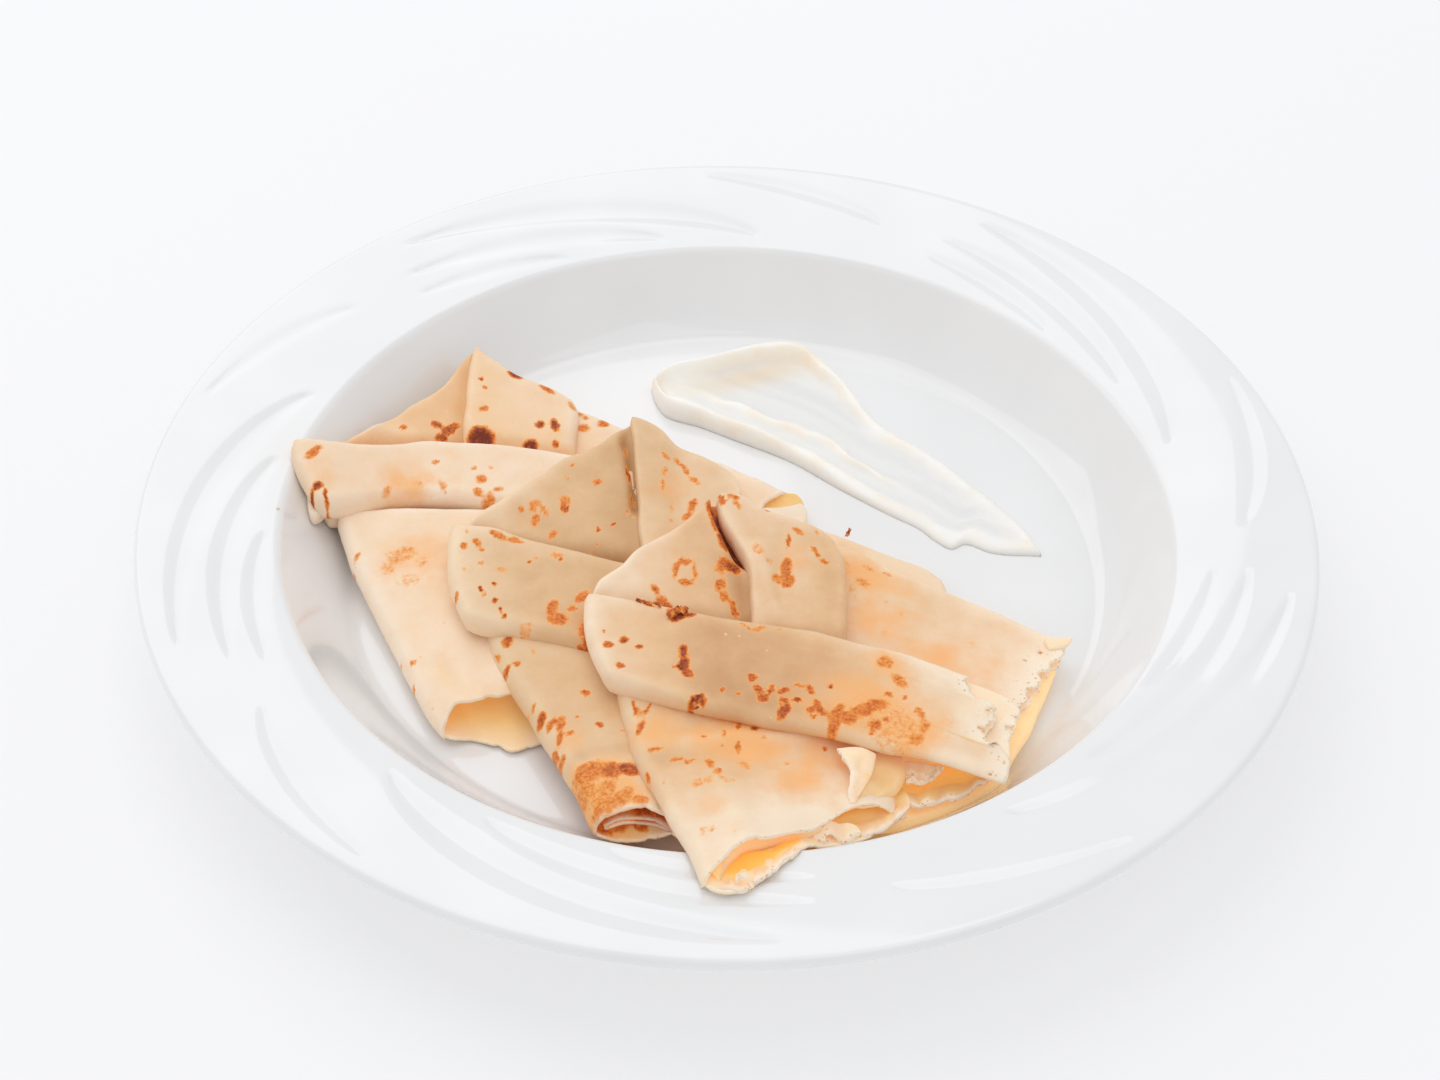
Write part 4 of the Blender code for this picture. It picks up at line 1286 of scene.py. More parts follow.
def front_crepe() -> FoldedCrepe:
    """The most browned crepe, in front, with a ragged open tail over the plate's rim."""
    finish = BakedBatter("batter_golden", *GOLDEN)
    arm_low = Layer(
        far=((10, 2, 4.5), (45, -16, 4.2), (78.3, -34, 4)),
        near=((10, -72, 9), (27, -89, 8.5), (38, -87, 6.5), (50, -82, 5.8), (61.5, -75, 6)),
        right=((64.6, -66, 5.4), (69.2, -57, 4.9), (72.8, -48.7, 4.7), (76, -41.2, 4.5)),
        depth=(5, 4, 3, 4), tone=(0.2, 0.15), seed=43, roll=1.4, gilt=0.6, through=0.62)
    arm = Layer(
        far=((0, 5, 12), (27, 0, 10), (34, -3.5, 9.2), (39, -7, 8.8), (52, -13.5, 8),
             (63, -19.5, 7.6), (75, -27.5, 7.6), (79.5, -31.8, 8.5)),
        near=((8, -60, 12), (40, -58, 10), (65, -57, 9)),
        right=((67.4, -52.6, 8), (69, -50.8, 7.8), (72.3, -46.5, 7.6), (73.3, -42.4, 7.6),
               (75, -40.3, 7.6), (77.9, -36.2, 7.8)), open_edge=RIGHT, lace=7.0,
        depth=(6, 3.4, 3.4, 7), tone=(0.4, 0.26, 0.26, 0.1), seed=47, roll=2.6, ragged=1.1, wave=0.8,
        through=0.06,
        blush=((34, -12, 13, 0.75, 1.5, -30), (36, -26, 12, 0.6), (48, -36, 11, 0.6, 1.4, -20),
               (58, -42, 10, 0.45)),
        marks=((32.5, -14, 2, 0.42, 1.6, -40), (34, -9, 1.4, 0.4, 2.6, -40),
               (38.5, -10.5, 1, 0.42, 1.6, -25), (38, -20, 0.9, 0.42), (41, -24, 1, 0.36),
               (37, -30, 1.4, 0.3, 2.2, 65), (57, -33, 2.4, 0.2),
               (28.5, -9, 2.5, 0.3, 2.4, -85), (30, -17.5, 2.5, 0.3, 2.7, -85)))
    tip = Layer(
        far=((74, -30.5, 8.2), (78, -31, 8.8), (81.2, -31.2, 9.4)),
        near=((75.5, -34, 7.8), (78.5, -33.6, 8.2), (80.2, -33, 8.6)), depth=(0.9, 0.9, 0.9, 0.9),
        tone=(0.0, 0.0), seed=48, roll=0.5, corner=0.8, swell=0.6, gilt=0.15, through=0.2)
    leg_low = Layer(
        far=((0, -60, 3), (20, -62, 3), (40, -66, 3)),
        near=((-2.6, -118.2, 22), (0, -120, 22.2), (2.2, -120.4, 22.3), (4.7, -120.5, 22.3),
              (6.7, -117.6, 22), (9.6, -115.6, 21.6), (12.4, -111.8, 20.9), (15.2, -108.7, 19.6),
              (16.9, -104.4, 17), (18.1, -100.6, 14.5), (22, -98.4, 12.4), (27, -96.4, 10.6),
              (34, -91.5, 8.8), (40, -86.5, 7.5)),
        left=((-2, -108, 18.4), (-1, -99, 8), (0, -86, 3)), right=((42, -76, 5),), open_edge=NEAR,
        lace=2.2, depth=(0.7, 0.7, 1, 1), tone=(0.3, 0.15), seed=51, roll=1.2, ragged=1.1, wave=0.4,
        gilt=0.35, deep=2.0, through=0.2)
    leg = Layer(
        far=((-25, -56, 18), (10, -64, 18), (34, -70, 13.6)),
        near=((-4.3, -119.3, 23.2), (-2.7, -117.1, 24.2), (0.6, -112.9, 24.6), (5.8, -108.1, 24.6),
              (9.2, -106.6, 22.8), (15.7, -101.9, 19.8), (19.6, -99.2, 18), (23.6, -95.1, 16.9),
              (26.8, -91.3, 15.6), (31.6, -88.7, 14.2), (35.2, -88, 12.6), (37.8, -87.7, 11)),
        left=((-5.2, -115, 22.8), (-9.4, -104, 20.5), (-15, -88, 17.5), (-19.5, -77, 16.5),
              (-22.5, -65, 17)),
        right=((37.6, -84, 11.4), (36, -76, 12.6)), open_edge=NEAR, belly=8.0,
        under=((-3.9, -118.4, 21.4), (-1.1, -120.3, 21.7), (2, -120.5, 21.7), (6.3, -118.3, 21.4),
               (9.6, -114.9, 20.8), (12.6, -111.7, 20.3), (15.7, -107.8, 19.2), (18.4, -102, 15.6),
               (21.5, -99.2, 12.2), (25.7, -97.6, 11), (31.6, -94.3, 10), (36.9, -89.3, 9.5)),
        depth=(3, 3, 8, 7), tone=(0.36, 0.22, 0.1), tone_far=(-0.3, 0.1, 0.16), seed=53, roll=2.8,
        ragged=0.8, wave=0.6, through=0.04,
        blush=((-15, -70, 9, 0.75), (4, -74, 13, 0.85, 1.6, 5), (16, -84, 11, 0.7), (22, -74, 9, 0.6),
               (-4, -96, 8, 0.35)),
        creases=((-20, -76, 30, -69, 3.0, -0.9), (-17, -80, 5, -79, 2.0, 0.6)),
        marks=((-20, -64, 1.1, 0.75, 3.7, -75), (-17, -64.5, 1, 0.7, 3, 75),
               (-18.5, -69.5, 1.3, 0.7, 2.7, 75), (-19, -66, 1.5, 0.4), (-4.5, -74, 0.8, 0.6),
               (0, -72.5, 0.8, 0.6, 3.2, 85), (-0.5, -76, 0.6, 0.55), (3, -70, 0.9, 0.65, 3.2, 80),
               (3, -76, 1.1, 0.6, 2.9, 85), (6.5, -70.5, 0.9, 0.72), (8.5, -73, 0.6, 0.45),
               (-15, -77, 1.2, 0.6, 2.6, 10), (-10.5, -79.5, 1.2, 0.55, 2.9, 5),
               (-7.5, -80.5, 1.2, 0.55, 1.7, 25), (-3, -82, 1.5, 0.52, 1.9, -65),
               (-1.5, -84.5, 1.2, 0.48), (4.5, -81.5, 1.5, 0.45, 1.6, -50), (13.5, -79.5, 0.7, 0.45),
               (-5, -88, 2.2, 0.36, 2, 15), (0.5, -87.5, 1.7, 0.32, 1.7, -25), (-3.5, -104.5, 1.8, 0.3),
               (-16.5, -83.5, 0.7, 0.65, 4.7, -70), (22, -74, 0.7, 0.6), (-13, -87, 0.5, 0.5)))
    lining = Layer(
        far=((-2.5, -114.7, 22.4), (1.6, -109.6, 23.2), (5.9, -106.2, 23.2),
             (11.7, -102.7, 20.3), (16.9, -99.3, 17.8), (21.1, -96.1, 16.2)),
        near=((-0.4, -116.8, 21.6), (0.7, -113.1, 21), (2.4, -110.1, 20.6), (4.7, -107.4, 20.2),
              (8.2, -105.3, 18.8), (11.8, -103, 17.2), (14.9, -100.8, 16.2), (18.3, -98.4, 15.4),
              (20.9, -96.3, 14.9)), open_edge=NEAR, depth=(0.6, 0.6, 0.6, 0.6), tone=(0.4, 0.4),
        seed=55, roll=0.5, corner=0.6, skin=0.45, gilt=0.72, through=0.55, bleach=0.1, ragged=0.25,
        wave=0.2, swell=0.1)
    curl = Layer(
        far=((2.8, -116.7, 23.3), (4.2, -115.7, 24.0), (5.4, -116.8, 23.2)),
        near=((2.2, -118.3, 22.5), (4.2, -118, 22.6), (6.2, -118.8, 22.4)), open_edge=NEAR,
        depth=(0.5, 0.5, 0.5, 0.5), tone=(0.1, 0.1), seed=59, roll=0.5, corner=0.5, ragged=1.2, wave=0.9,
        skin=0.4, step=0.4, gilt=0.35, through=0.4, swell=0.6)
    lens = Layer(
        far=((20, -91.5, 13), (30, -86.5, 11), (39.5, -79, 9.4)),
        near=((18.6, -98.8, 13.2), (21.2, -98.2, 12.2), (24.8, -97.3, 11.6), (28.2, -96, 11.2),
              (31.1, -94.7, 11), (34.2, -93.3, 11), (36, -91.5, 11), (37.6, -89.5, 11),
              (39.4, -87.4, 11), (41, -85.2, 10.8)),
        right=((40.6, -82, 10.2),), open_edge=NEAR, depth=(0.7, 0.7, 1, 1), tone=(0.3, 0.15), seed=57,
        roll=0.8, corner=0.8, ragged=0.7, wave=0.5, gilt=0.45, deep=1.05, through=0.3, bleach=0.9,
        creases=((19, -95.8, 39, -84.6, 1.5, 1.6), (22, -92.6, 36, -86.5, 1.0, -0.8)))
    shred = Layer(
        far=((18.9, -97.2, 14.4), (21.7, -95.4, 14.8), (24.8, -93.7, 14.4), (28.8, -94.2, 12.8)),
        near=((18.7, -98.9, 13.4), (22, -98.3, 12.6), (25.6, -97.4, 12), (29.8, -95.2, 11.6)),
        open_edge=NEAR, depth=(0.5, 0.5, 0.5, 0.5), tone=(0.1, 0.1), seed=58, roll=0.5, corner=0.5,
        ragged=0.8, wave=0.7, skin=0.4, step=0.5, gilt=0.3, through=0.35, bleach=0.9)
    facet_left = Layer(
        far=((-31.5, -31, 20.8), (-30, -25.5, 20.5), (-25.5, -18.5, 19.5),
             (-20.5, -11.5, 19.5), (-12.5, -5, 19.5), (-7, 0.5, 20.5), (-3, 5, 21.3)),
        near=((-27, -49, 13.5), (-10, -53, 13.5), (11, -55, 13.5)),
        right=((11, -37, 15), (11, -27, 16), (9.5, -22, 16.6), (5.2, -17.5, 17.4), (2.4, -14.6, 18),
               (-0.2, -9.5, 18.9), (-2.4, -3.6, 19.8), (-3.6, 1.2, 20.6)),
        depth=(7, 8, 8, 7), tone=(-0.1, 0.2, 0.6), tone_far=(0.3, 0.15, 0.0), seed=61, roll=3.2,
        tight=(RIGHT,), creases=((2, -12, 5, -36, 2.4, 1.2), (-37, -30.5, 8, -39, 3.6, 3.6)),
        marks=((-10, -16.5, 1.5, 0.62, 1.5, 0), (-12, -19.5, 1.4, 0.6, 3.1, 85),
               (-7.5, -19.5, 1.4, 0.6, 3.2, 95), (-9.5, -23, 1.4, 0.62, 1.5, -15),
               (-16.5, -26, 1.4, 0.6, 2.3, -60), (-14.5, -29.5, 1.8, 0.62, 1.9, -50),
               (0, -16.5, 1.9, 0.7, 1.2, 15), (1.5, -17.5, 1.8, 0.85, 1.2, -15), (-1, -18, 2, 0.5, 1.4, 30),
               (-1.5, -23, 1.8, 0.6, 1.7, 70), (-0.5, -26.5, 1.6, 0.58, 2.2, 85),
               (1.5, -29, 1.4, 0.62, 2, -70), (2, -31, 1.1, 0.68), (-1, -34, 0.5, 0.6),
               (4, -36, 1.1, 0.65, 1.5, 30), (-4.4, 0, 1.7, 0.65, 3.4, -80),
               (-3, -5.5, 1.8, 0.65, 2.9, -70), (-1, -10.5, 1.7, 0.8, 2.8, -70)))
    facet_right = Layer(
        far=((-2.9, 4.6, 22.6), (4, 5.5, 21), (8, 2.5, 20), (15, 0.5, 18.5), (22, -1.5, 17),
             (26, -5.5, 16.5)),
        near=((5.4, -53, 15), (28, -53, 13.5)),
        left=((5.4, -35, 17), (5.5, -22.6, 18.5), (5.3, -19, 19), (4.2, -15.1, 19.5), (1.5, -10.5, 20),
              (-1.5, -3.9, 21), (-2.6, 1.5, 22)),
        right=((27.5, -38, 16), (28.5, -22, 16), (28, -11, 16.2)), depth=(7, 7, 7, 7),
        tone=(0.34, 0.28, 0.55), tone_far=(0.2, 0.0), seed=67, roll=2.8, tight=(LEFT,),
        blush=((16, -16, 8, 0.35, 1.6, 80),),
        creases=((8, -10, 11, -34, 1.6, -0.5), (14, -2, 12, -30, 2.4, 0.5),
                 (3, -39.5, 31, -43.5, 3.0, 2.4)),
        marks=((14.5, -9.5, 1.2, 0.72, 4.8, 85), (14, -18, 2.3, 0.62, 2.5, 85),
               (14.5, -22.5, 1.8, 0.6, 1.6, 70), (12, -22, 1.7, 0.5), (17, -5.5, 1.4, 0.55, 2, -45),
               (21.5, -5, 0.7, 0.55), (21, -11.5, 1.4, 0.62, 2.9, -65), (23, -14.5, 1.1, 0.6),
               (7.5, -14, 2, 0.36, 1.8, -60), (9.5, 0.5, 0.7, 0.9), (10, -17, 1.1, 0.42),
               (1, 3, 1.3, 0.6, 2.2, 0), (2.4, 0.2, 1.2, 0.5, 1.8, -60), (-1.4, 1, 1.2, 0.7, 2, -70),
               (12, -38, 0.8, 0.65, 1.5, -15)))
    # Painted shade: the heart of the fold, seen in the opening between the facets, is painted dark brown
    # for the shade in that opening.
    shaded_heart = Layer(
        far=((-5, 2.6, 18.6), (0.4, 2.6, 18.6)), near=((-3, -24, 13), (10, -24, 13)),
        left=((-5.5, -4, 15.2),), right=((6, -4, 15.2),), depth=(4, 4, 4, 4), corner=1.0,
        tone=(1.4, 1.4), seed=69, roll=1.5, marks=((-1, -6, 5, 0.95, 2.5, -65), (4, -16, 5, 0.95, 2, -65)))
    band = Layer(
        far=((-33, -31.5, 23), (-19, -34.5, 23), (-3, -38.5, 22.3), (12, -40.5, 22),
             (26, -43.5, 21), (40, -46.5, 19), (55.2, -51.6, 17.3)),
        near=((-27, -59, 22), (-10, -65.5, 22), (9, -71, 21.5), (23, -73.5, 20.5), (33, -77, 20),
              (44, -78.5, 19.2), (60.8, -83.7, 16.9)),
        left=((-31.7, -45, 22.5),), right=((61.9, -80.7, 16.6), (62.4, -75.9, 16.6), (61.3, -74.1, 16.6),
                                           (57.9, -73.2, 16.6), (58.9, -68.4, 16.6), (60.6, -63.4, 16.6),
                                           (60.8, -61, 16.6), (57, -58.8, 16.8), (55.1, -54.5, 17)),
        open_edge=RIGHT, lace=4.0, depth=(6.5, 2.4, 2.4, 6.5),
        tone=(0.2, 0.44, 0.72, 0.68, 0.44, 0.22, 0.05), tone_far=(0.05, 0.0), seed=71, roll=2.8,
        ragged=1.0, wave=0.7, through=0.03,
        blush=((32, -63, 15, 0.85, 1.5, -15), (41, -71, 10, 1.0), (20, -66, 8, 0.5),
               (36, -51, 7, 0.75), (45, -68, 8, 0.5)),
        marks=((-27.5, -45.5, 0.6, 0.65), (-26.5, -49.5, 1.1, 0.75), (-23, -48, 1.2, 0.8),
               (-19.5, -50, 0.8, 0.85), (-23.5, -56, 1, 0.75, 1.4, -50), (-9.5, -51, 1.7, 0.85, 2.2, 90),
               (-9.5, -55, 1.8, 0.9, 1.7, 70), (-8.5, -57.5, 1.6, 0.8, 1.6, -60), (-11.5, -56, 0.6, 0.6),
               (-12.5, -38, 1.4, 0.55), (-10.5, -40, 1.6, 0.95, 2.3, 45), (-8, -39.5, 1.1, 0.9, 1.7, 30),
               (-17.5, -36.5, 0.8, 0.85, 4.1, -25), (4.5, -42.5, 1.1, 0.55, 3.1, -40),
               (7.5, -43, 1.2, 0.5, 1.6, 20), (12, -43, 0.6, 0.6), (6, -58.5, 1.2, 0.72),
               (-0.5, -62.5, 0.8, 0.68), (3, -63.5, 0.5, 0.5), (7.5, -62, 1.3, 0.75, 1.7, -65),
               (8.5, -64.5, 1.4, 0.78), (10, -62, 1, 0.75, 2.1, 65), (13, -65, 1.2, 0.7),
               (13, -68, 1.8, 0.78, 2, 65), (13, -62, 1.2, 0.65, 1.7, 40), (16, -64.5, 0.9, 0.85),
               (16, -60, 1.1, 0.65, 1.8, -25), (19, -61.5, 1.4, 0.68, 2.1, -65),
               (20.5, -66, 1.5, 0.7, 2.4, -75), (19, -67.5, 1, 0.7), (21.5, -68, 1.2, 0.62),
               (19.5, -69.5, 0.8, 0.72), (23.5, -60, 0.6, 0.9, 1.5, 40), (24.5, -68, 2.3, 0.62, 2.4, 65),
               (27, -69, 2.5, 0.6), (30.5, -66, 2.5, 0.62, 1.5, 40), (33.5, -64, 2.3, 0.6, 1.4, 25),
               (33, -70.5, 1.5, 0.7), (24, -71.5, 2, 0.64, 2.1, 75), (35.5, -68.5, 1, 0.62),
               (36.5, -60.5, 0.9, 0.62), (32, -73, 0.7, 0.62), (-6.5, -65.5, 1.3, 0.95, 2.4, 35),
               (-5, -66, 1, 0.9, 2, -80), (36, -50.5, 2.1, 0.5), (39, -56, 2.1, 0.52, 1.9, -50),
               (40, -61, 0.8, 0.6), (43.5, -65.5, 1.5, 0.5, 1.6, -60), (44, -69.5, 2, 0.5, 2.1, 80),
               (42, -74, 2, 0.5, 1.6, 55), (37.5, -71, 7.4, 0.33), (32, -67, 6.4, 0.25),
               (49, -70, 3, 0.2, 2.7, 80)))
    band_under = Layer(
        far=((44, -48, 15.5), (55.4, -52.1, 14.8), (62.1, -55.5, 14.2), (64.6, -56.9, 13.8)),
        near=((46, -76, 14), (62.8, -74, 13.6)),
        right=((63.4, -68, 13.6), (64.7, -64.4, 13.6), (66.1, -60.5, 13.6)), open_edge=RIGHT, lace=3.0,
        depth=(2, 1.4, 1.4, 2), tone=(0.05, 0.0), seed=73, roll=1.2, gilt=0.12, through=0.15, ragged=0.8)
    flap = Layer(
        far=((24.6, -76, 18.2), (28.7, -75.8, 18.6), (33, -77, 17.6)),
        near=((27.2, -90, 15.7), (28.6, -90, 15.4)),
        left=((27, -87, 16.7), (26.9, -84, 17.4), (26, -80.8, 18)),
        right=((29.9, -86.9, 16.4), (31.6, -82.9, 17)), open_edge=LEFT, depth=(0.6, 0.6, 0.8, 0.8),
        tone=(0.0, 0.3), seed=81, roll=0.6, corner=0.6, ragged=0.9, wave=0.5, swell=0.2, gilt=0.25,
        through=0.3, creases=((30, -78, 28.6, -88, 0.8, 0.5),))
    lobe = Layer(
        far=((29, -74, 15.6), (40.6, -74, 13.6)),
        near=((27.7, -88.8, 15.2), (31.5, -87.8, 13.9), (34.1, -86.2, 12.8)), left=((29, -82, 16),),
        right=((36.9, -83.8, 12.7), (39.4, -79.8, 13)), open_edge=NEAR, depth=(2.4, 2.4, 3, 3),
        tone=(0.35, 0.45), seed=83, roll=1.4, corner=2.0, ragged=0.5, wave=0.6, gilt=0.4, through=0.28,
        creases=((30, -80, 37, -82, 2.0, 0.8),))
    scrap = Layer(
        far=((39.5, -73.6, 13), (49, -74.4, 11.8)),
        near=((39.8, -79.3, 11.8), (42.5, -79.2, 11.4), (46.5, -77.2, 11.2)), open_edge=NEAR, lace=3.5,
        depth=(1.2, 1.2, 2, 2), tone=(0.25, 0.25), seed=87, roll=0.8, corner=0.8, ragged=1.0, wave=1.2,
        swell=0.8, gilt=0.35, through=0.3)
    frill = Layer(
        far=((37, -74, 9.8), (45.6, -72.4, 9.6), (60, -68, 8.6)),
        near=((37.9, -82.6, 9.8), (39.6, -83.6, 10), (41.8, -84.5, 9.8), (44.6, -84.2, 9.6),
              (47.1, -83, 9.6), (49.6, -82.2, 9.4), (51.9, -80.8, 9.2), (54.6, -78.8, 9),
              (57.6, -76.4, 9), (61, -74, 8.6)), right=((61.5, -70, 8.6),), open_edge=NEAR,
        depth=(0.9, 0.9, 1.2, 1.2), tone=(0.6, 0.5), seed=85, roll=1.0, corner=1.0, ragged=0.7,
        wave=0.9, gilt=0.6, deep=1.75, through=0.25, bleach=0.9,
        creases=((37, -80.2, 58, -72.6, 1.9, 2.2),))
    return FoldedCrepe("crepe_front", finish,
                       [arm_low, leg_low, arm, tip, frill, scrap, lobe, lens, shred, lining,
                        curl, leg, flap],
                       [shaded_heart, facet_left, facet_right, band_under, band])


@dataclass
class LooseBits:
    """A pale crumb on the rim and flakes of browned skin that stand up from the front crepe."""
    crumbs: Points = ((-107.6, -1.4, 0.42),)
    flakes: Points = ((-11.6, -39.4, 22.9, 4.2, 1.5, 38), (-9.6, -38.7, 22.9, 2.2, 1.1, 60),
                      (-18.8, -35.9, 22.7, 4.0, 0.6, -22), (-15.8, -36.8, 22.9, 2.2, 0.5, -35),
                      (29.4, 2.4, 10.2, 3.0, 0.8, 70), (-6.2, -66.4, 20.8, 2.6, 1.2, 35))
    crumb_toast: float = 0.1
    flake_toast: float = 0.72
    flake_wall: float = 0.35
    seed: int = 101

    def crumb(self, place: tuple[float, ...], seed: int) -> tuple[np.ndarray, np.ndarray]:
        """One crumb: a knobbly lump, wider than it is high, standing on the plate.

        Args:
            place: x, y and size in mm.
            seed: which lump.

        Returns:
            Its points and faces.
        """
        x, y, size = place
        around, rows = 12, 9
        a, b = np.meshgrid(np.arange(around) * 2 * math.pi / around,
                           np.linspace(-math.pi / 2, math.pi / 2, rows), indexing="ij")
        out = size * (1 + 0.4 * lattice_noise(np.cos(a) * np.cos(b) * 3, np.sin(a) * 3 + b * 2, 1.2, seed))
        out[:, 0], out[:, -1] = out[0, 0], out[0, -1]
        base = float(PLATE.height(np.hypot(x, y))) + FLOOR_TOP
        points = np.stack([x + out * np.cos(a) * np.cos(b), y + 0.75 * out * np.sin(a) * np.cos(b),
                           base + size * 0.5 + 0.6 * out * np.sin(b)], axis=-1).reshape(-1, 3)
        i, j = np.meshgrid(np.arange(around), np.arange(rows - 1), indexing="ij")
        k = (i + 1) % around
        faces = np.stack([i * rows + j, k * rows + j, k * rows + j + 1, i * rows + j + 1], axis=-1)
        return points, faces.reshape(-1, 4)

    def flake(self, place: tuple[float, ...], seed: int) -> tuple[np.ndarray, np.ndarray]:
        """One flake: a crinkled scrap of skin with torn edges, curling up from one side.

        Args:
            place: x, y, h, length, width in mm, and its turn in degrees.
            seed: which scrap.

        Returns:
            Its points and faces.
        """
        x, y, h, length, width, turn = place
        rows, columns = 13, 6
        a, b = np.meshgrid(np.linspace(-0.5, 0.5, rows), np.linspace(-0.5, 0.5, columns), indexing="ij")
        torn = 1 + 0.45 * lattice_noise(a * length, b * 0, 0.5, seed)
        along, across = a * length, b * width * torn
        lift = 0.35 * (b + 0.5) * width + 0.3 * lattice_noise(along, across, 0.6, seed + 1) + 0.15
        c, s = math.cos(math.radians(turn)), math.sin(math.radians(turn))
        top = np.stack([x + along * c - across * s, y + along * s + across * c,
                        h + FLOOR_TOP + lift], axis=-1).reshape(-1, 3)
        low = top - [0.0, 0.0, self.flake_wall]
        index = np.arange(rows * columns).reshape(rows, columns)
        upper = quads(index).reshape(-1, 4)
        rim = np.concatenate([index[:, 0], index[-1, 1:], index[-2::-1, -1], index[0, -2:0:-1]])
        after = np.roll(rim, -1)
        side = np.stack([after, rim, rim + index.size, after + index.size], axis=-1)
        return np.vstack([top, low]), np.vstack([upper, upper[:, ::-1] + index.size, side])

    def build(self) -> bpy.types.Object:
        """Build and dress all the bits as one piece.

        Returns:
            The piece.
        """
        bits, toast = [], []
        for places, make, browned in ((self.crumbs, self.crumb, self.crumb_toast),
                                      (self.flakes, self.flake, self.flake_toast)):
            for place in places:
                bits.append(make(place, self.seed + 3 * len(bits)))
                toast.append(np.full(len(bits[-1][0]), browned))
        points, faces = join(bits)
        painted = {key: np.zeros(len(points)) for key in PAINTED}
        painted["toast"] = np.concatenate(toast) + 0.25 * lattice_noise(
            points[:, 0], points[:, 1], 0.9, self.seed)
        finish = BakedBatter("batter_toasted", *GOLDEN)
        piece = make_object("toasted_bits", points, faces, painted, finish.make())
        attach(piece, "root")
        return piece


# Cream

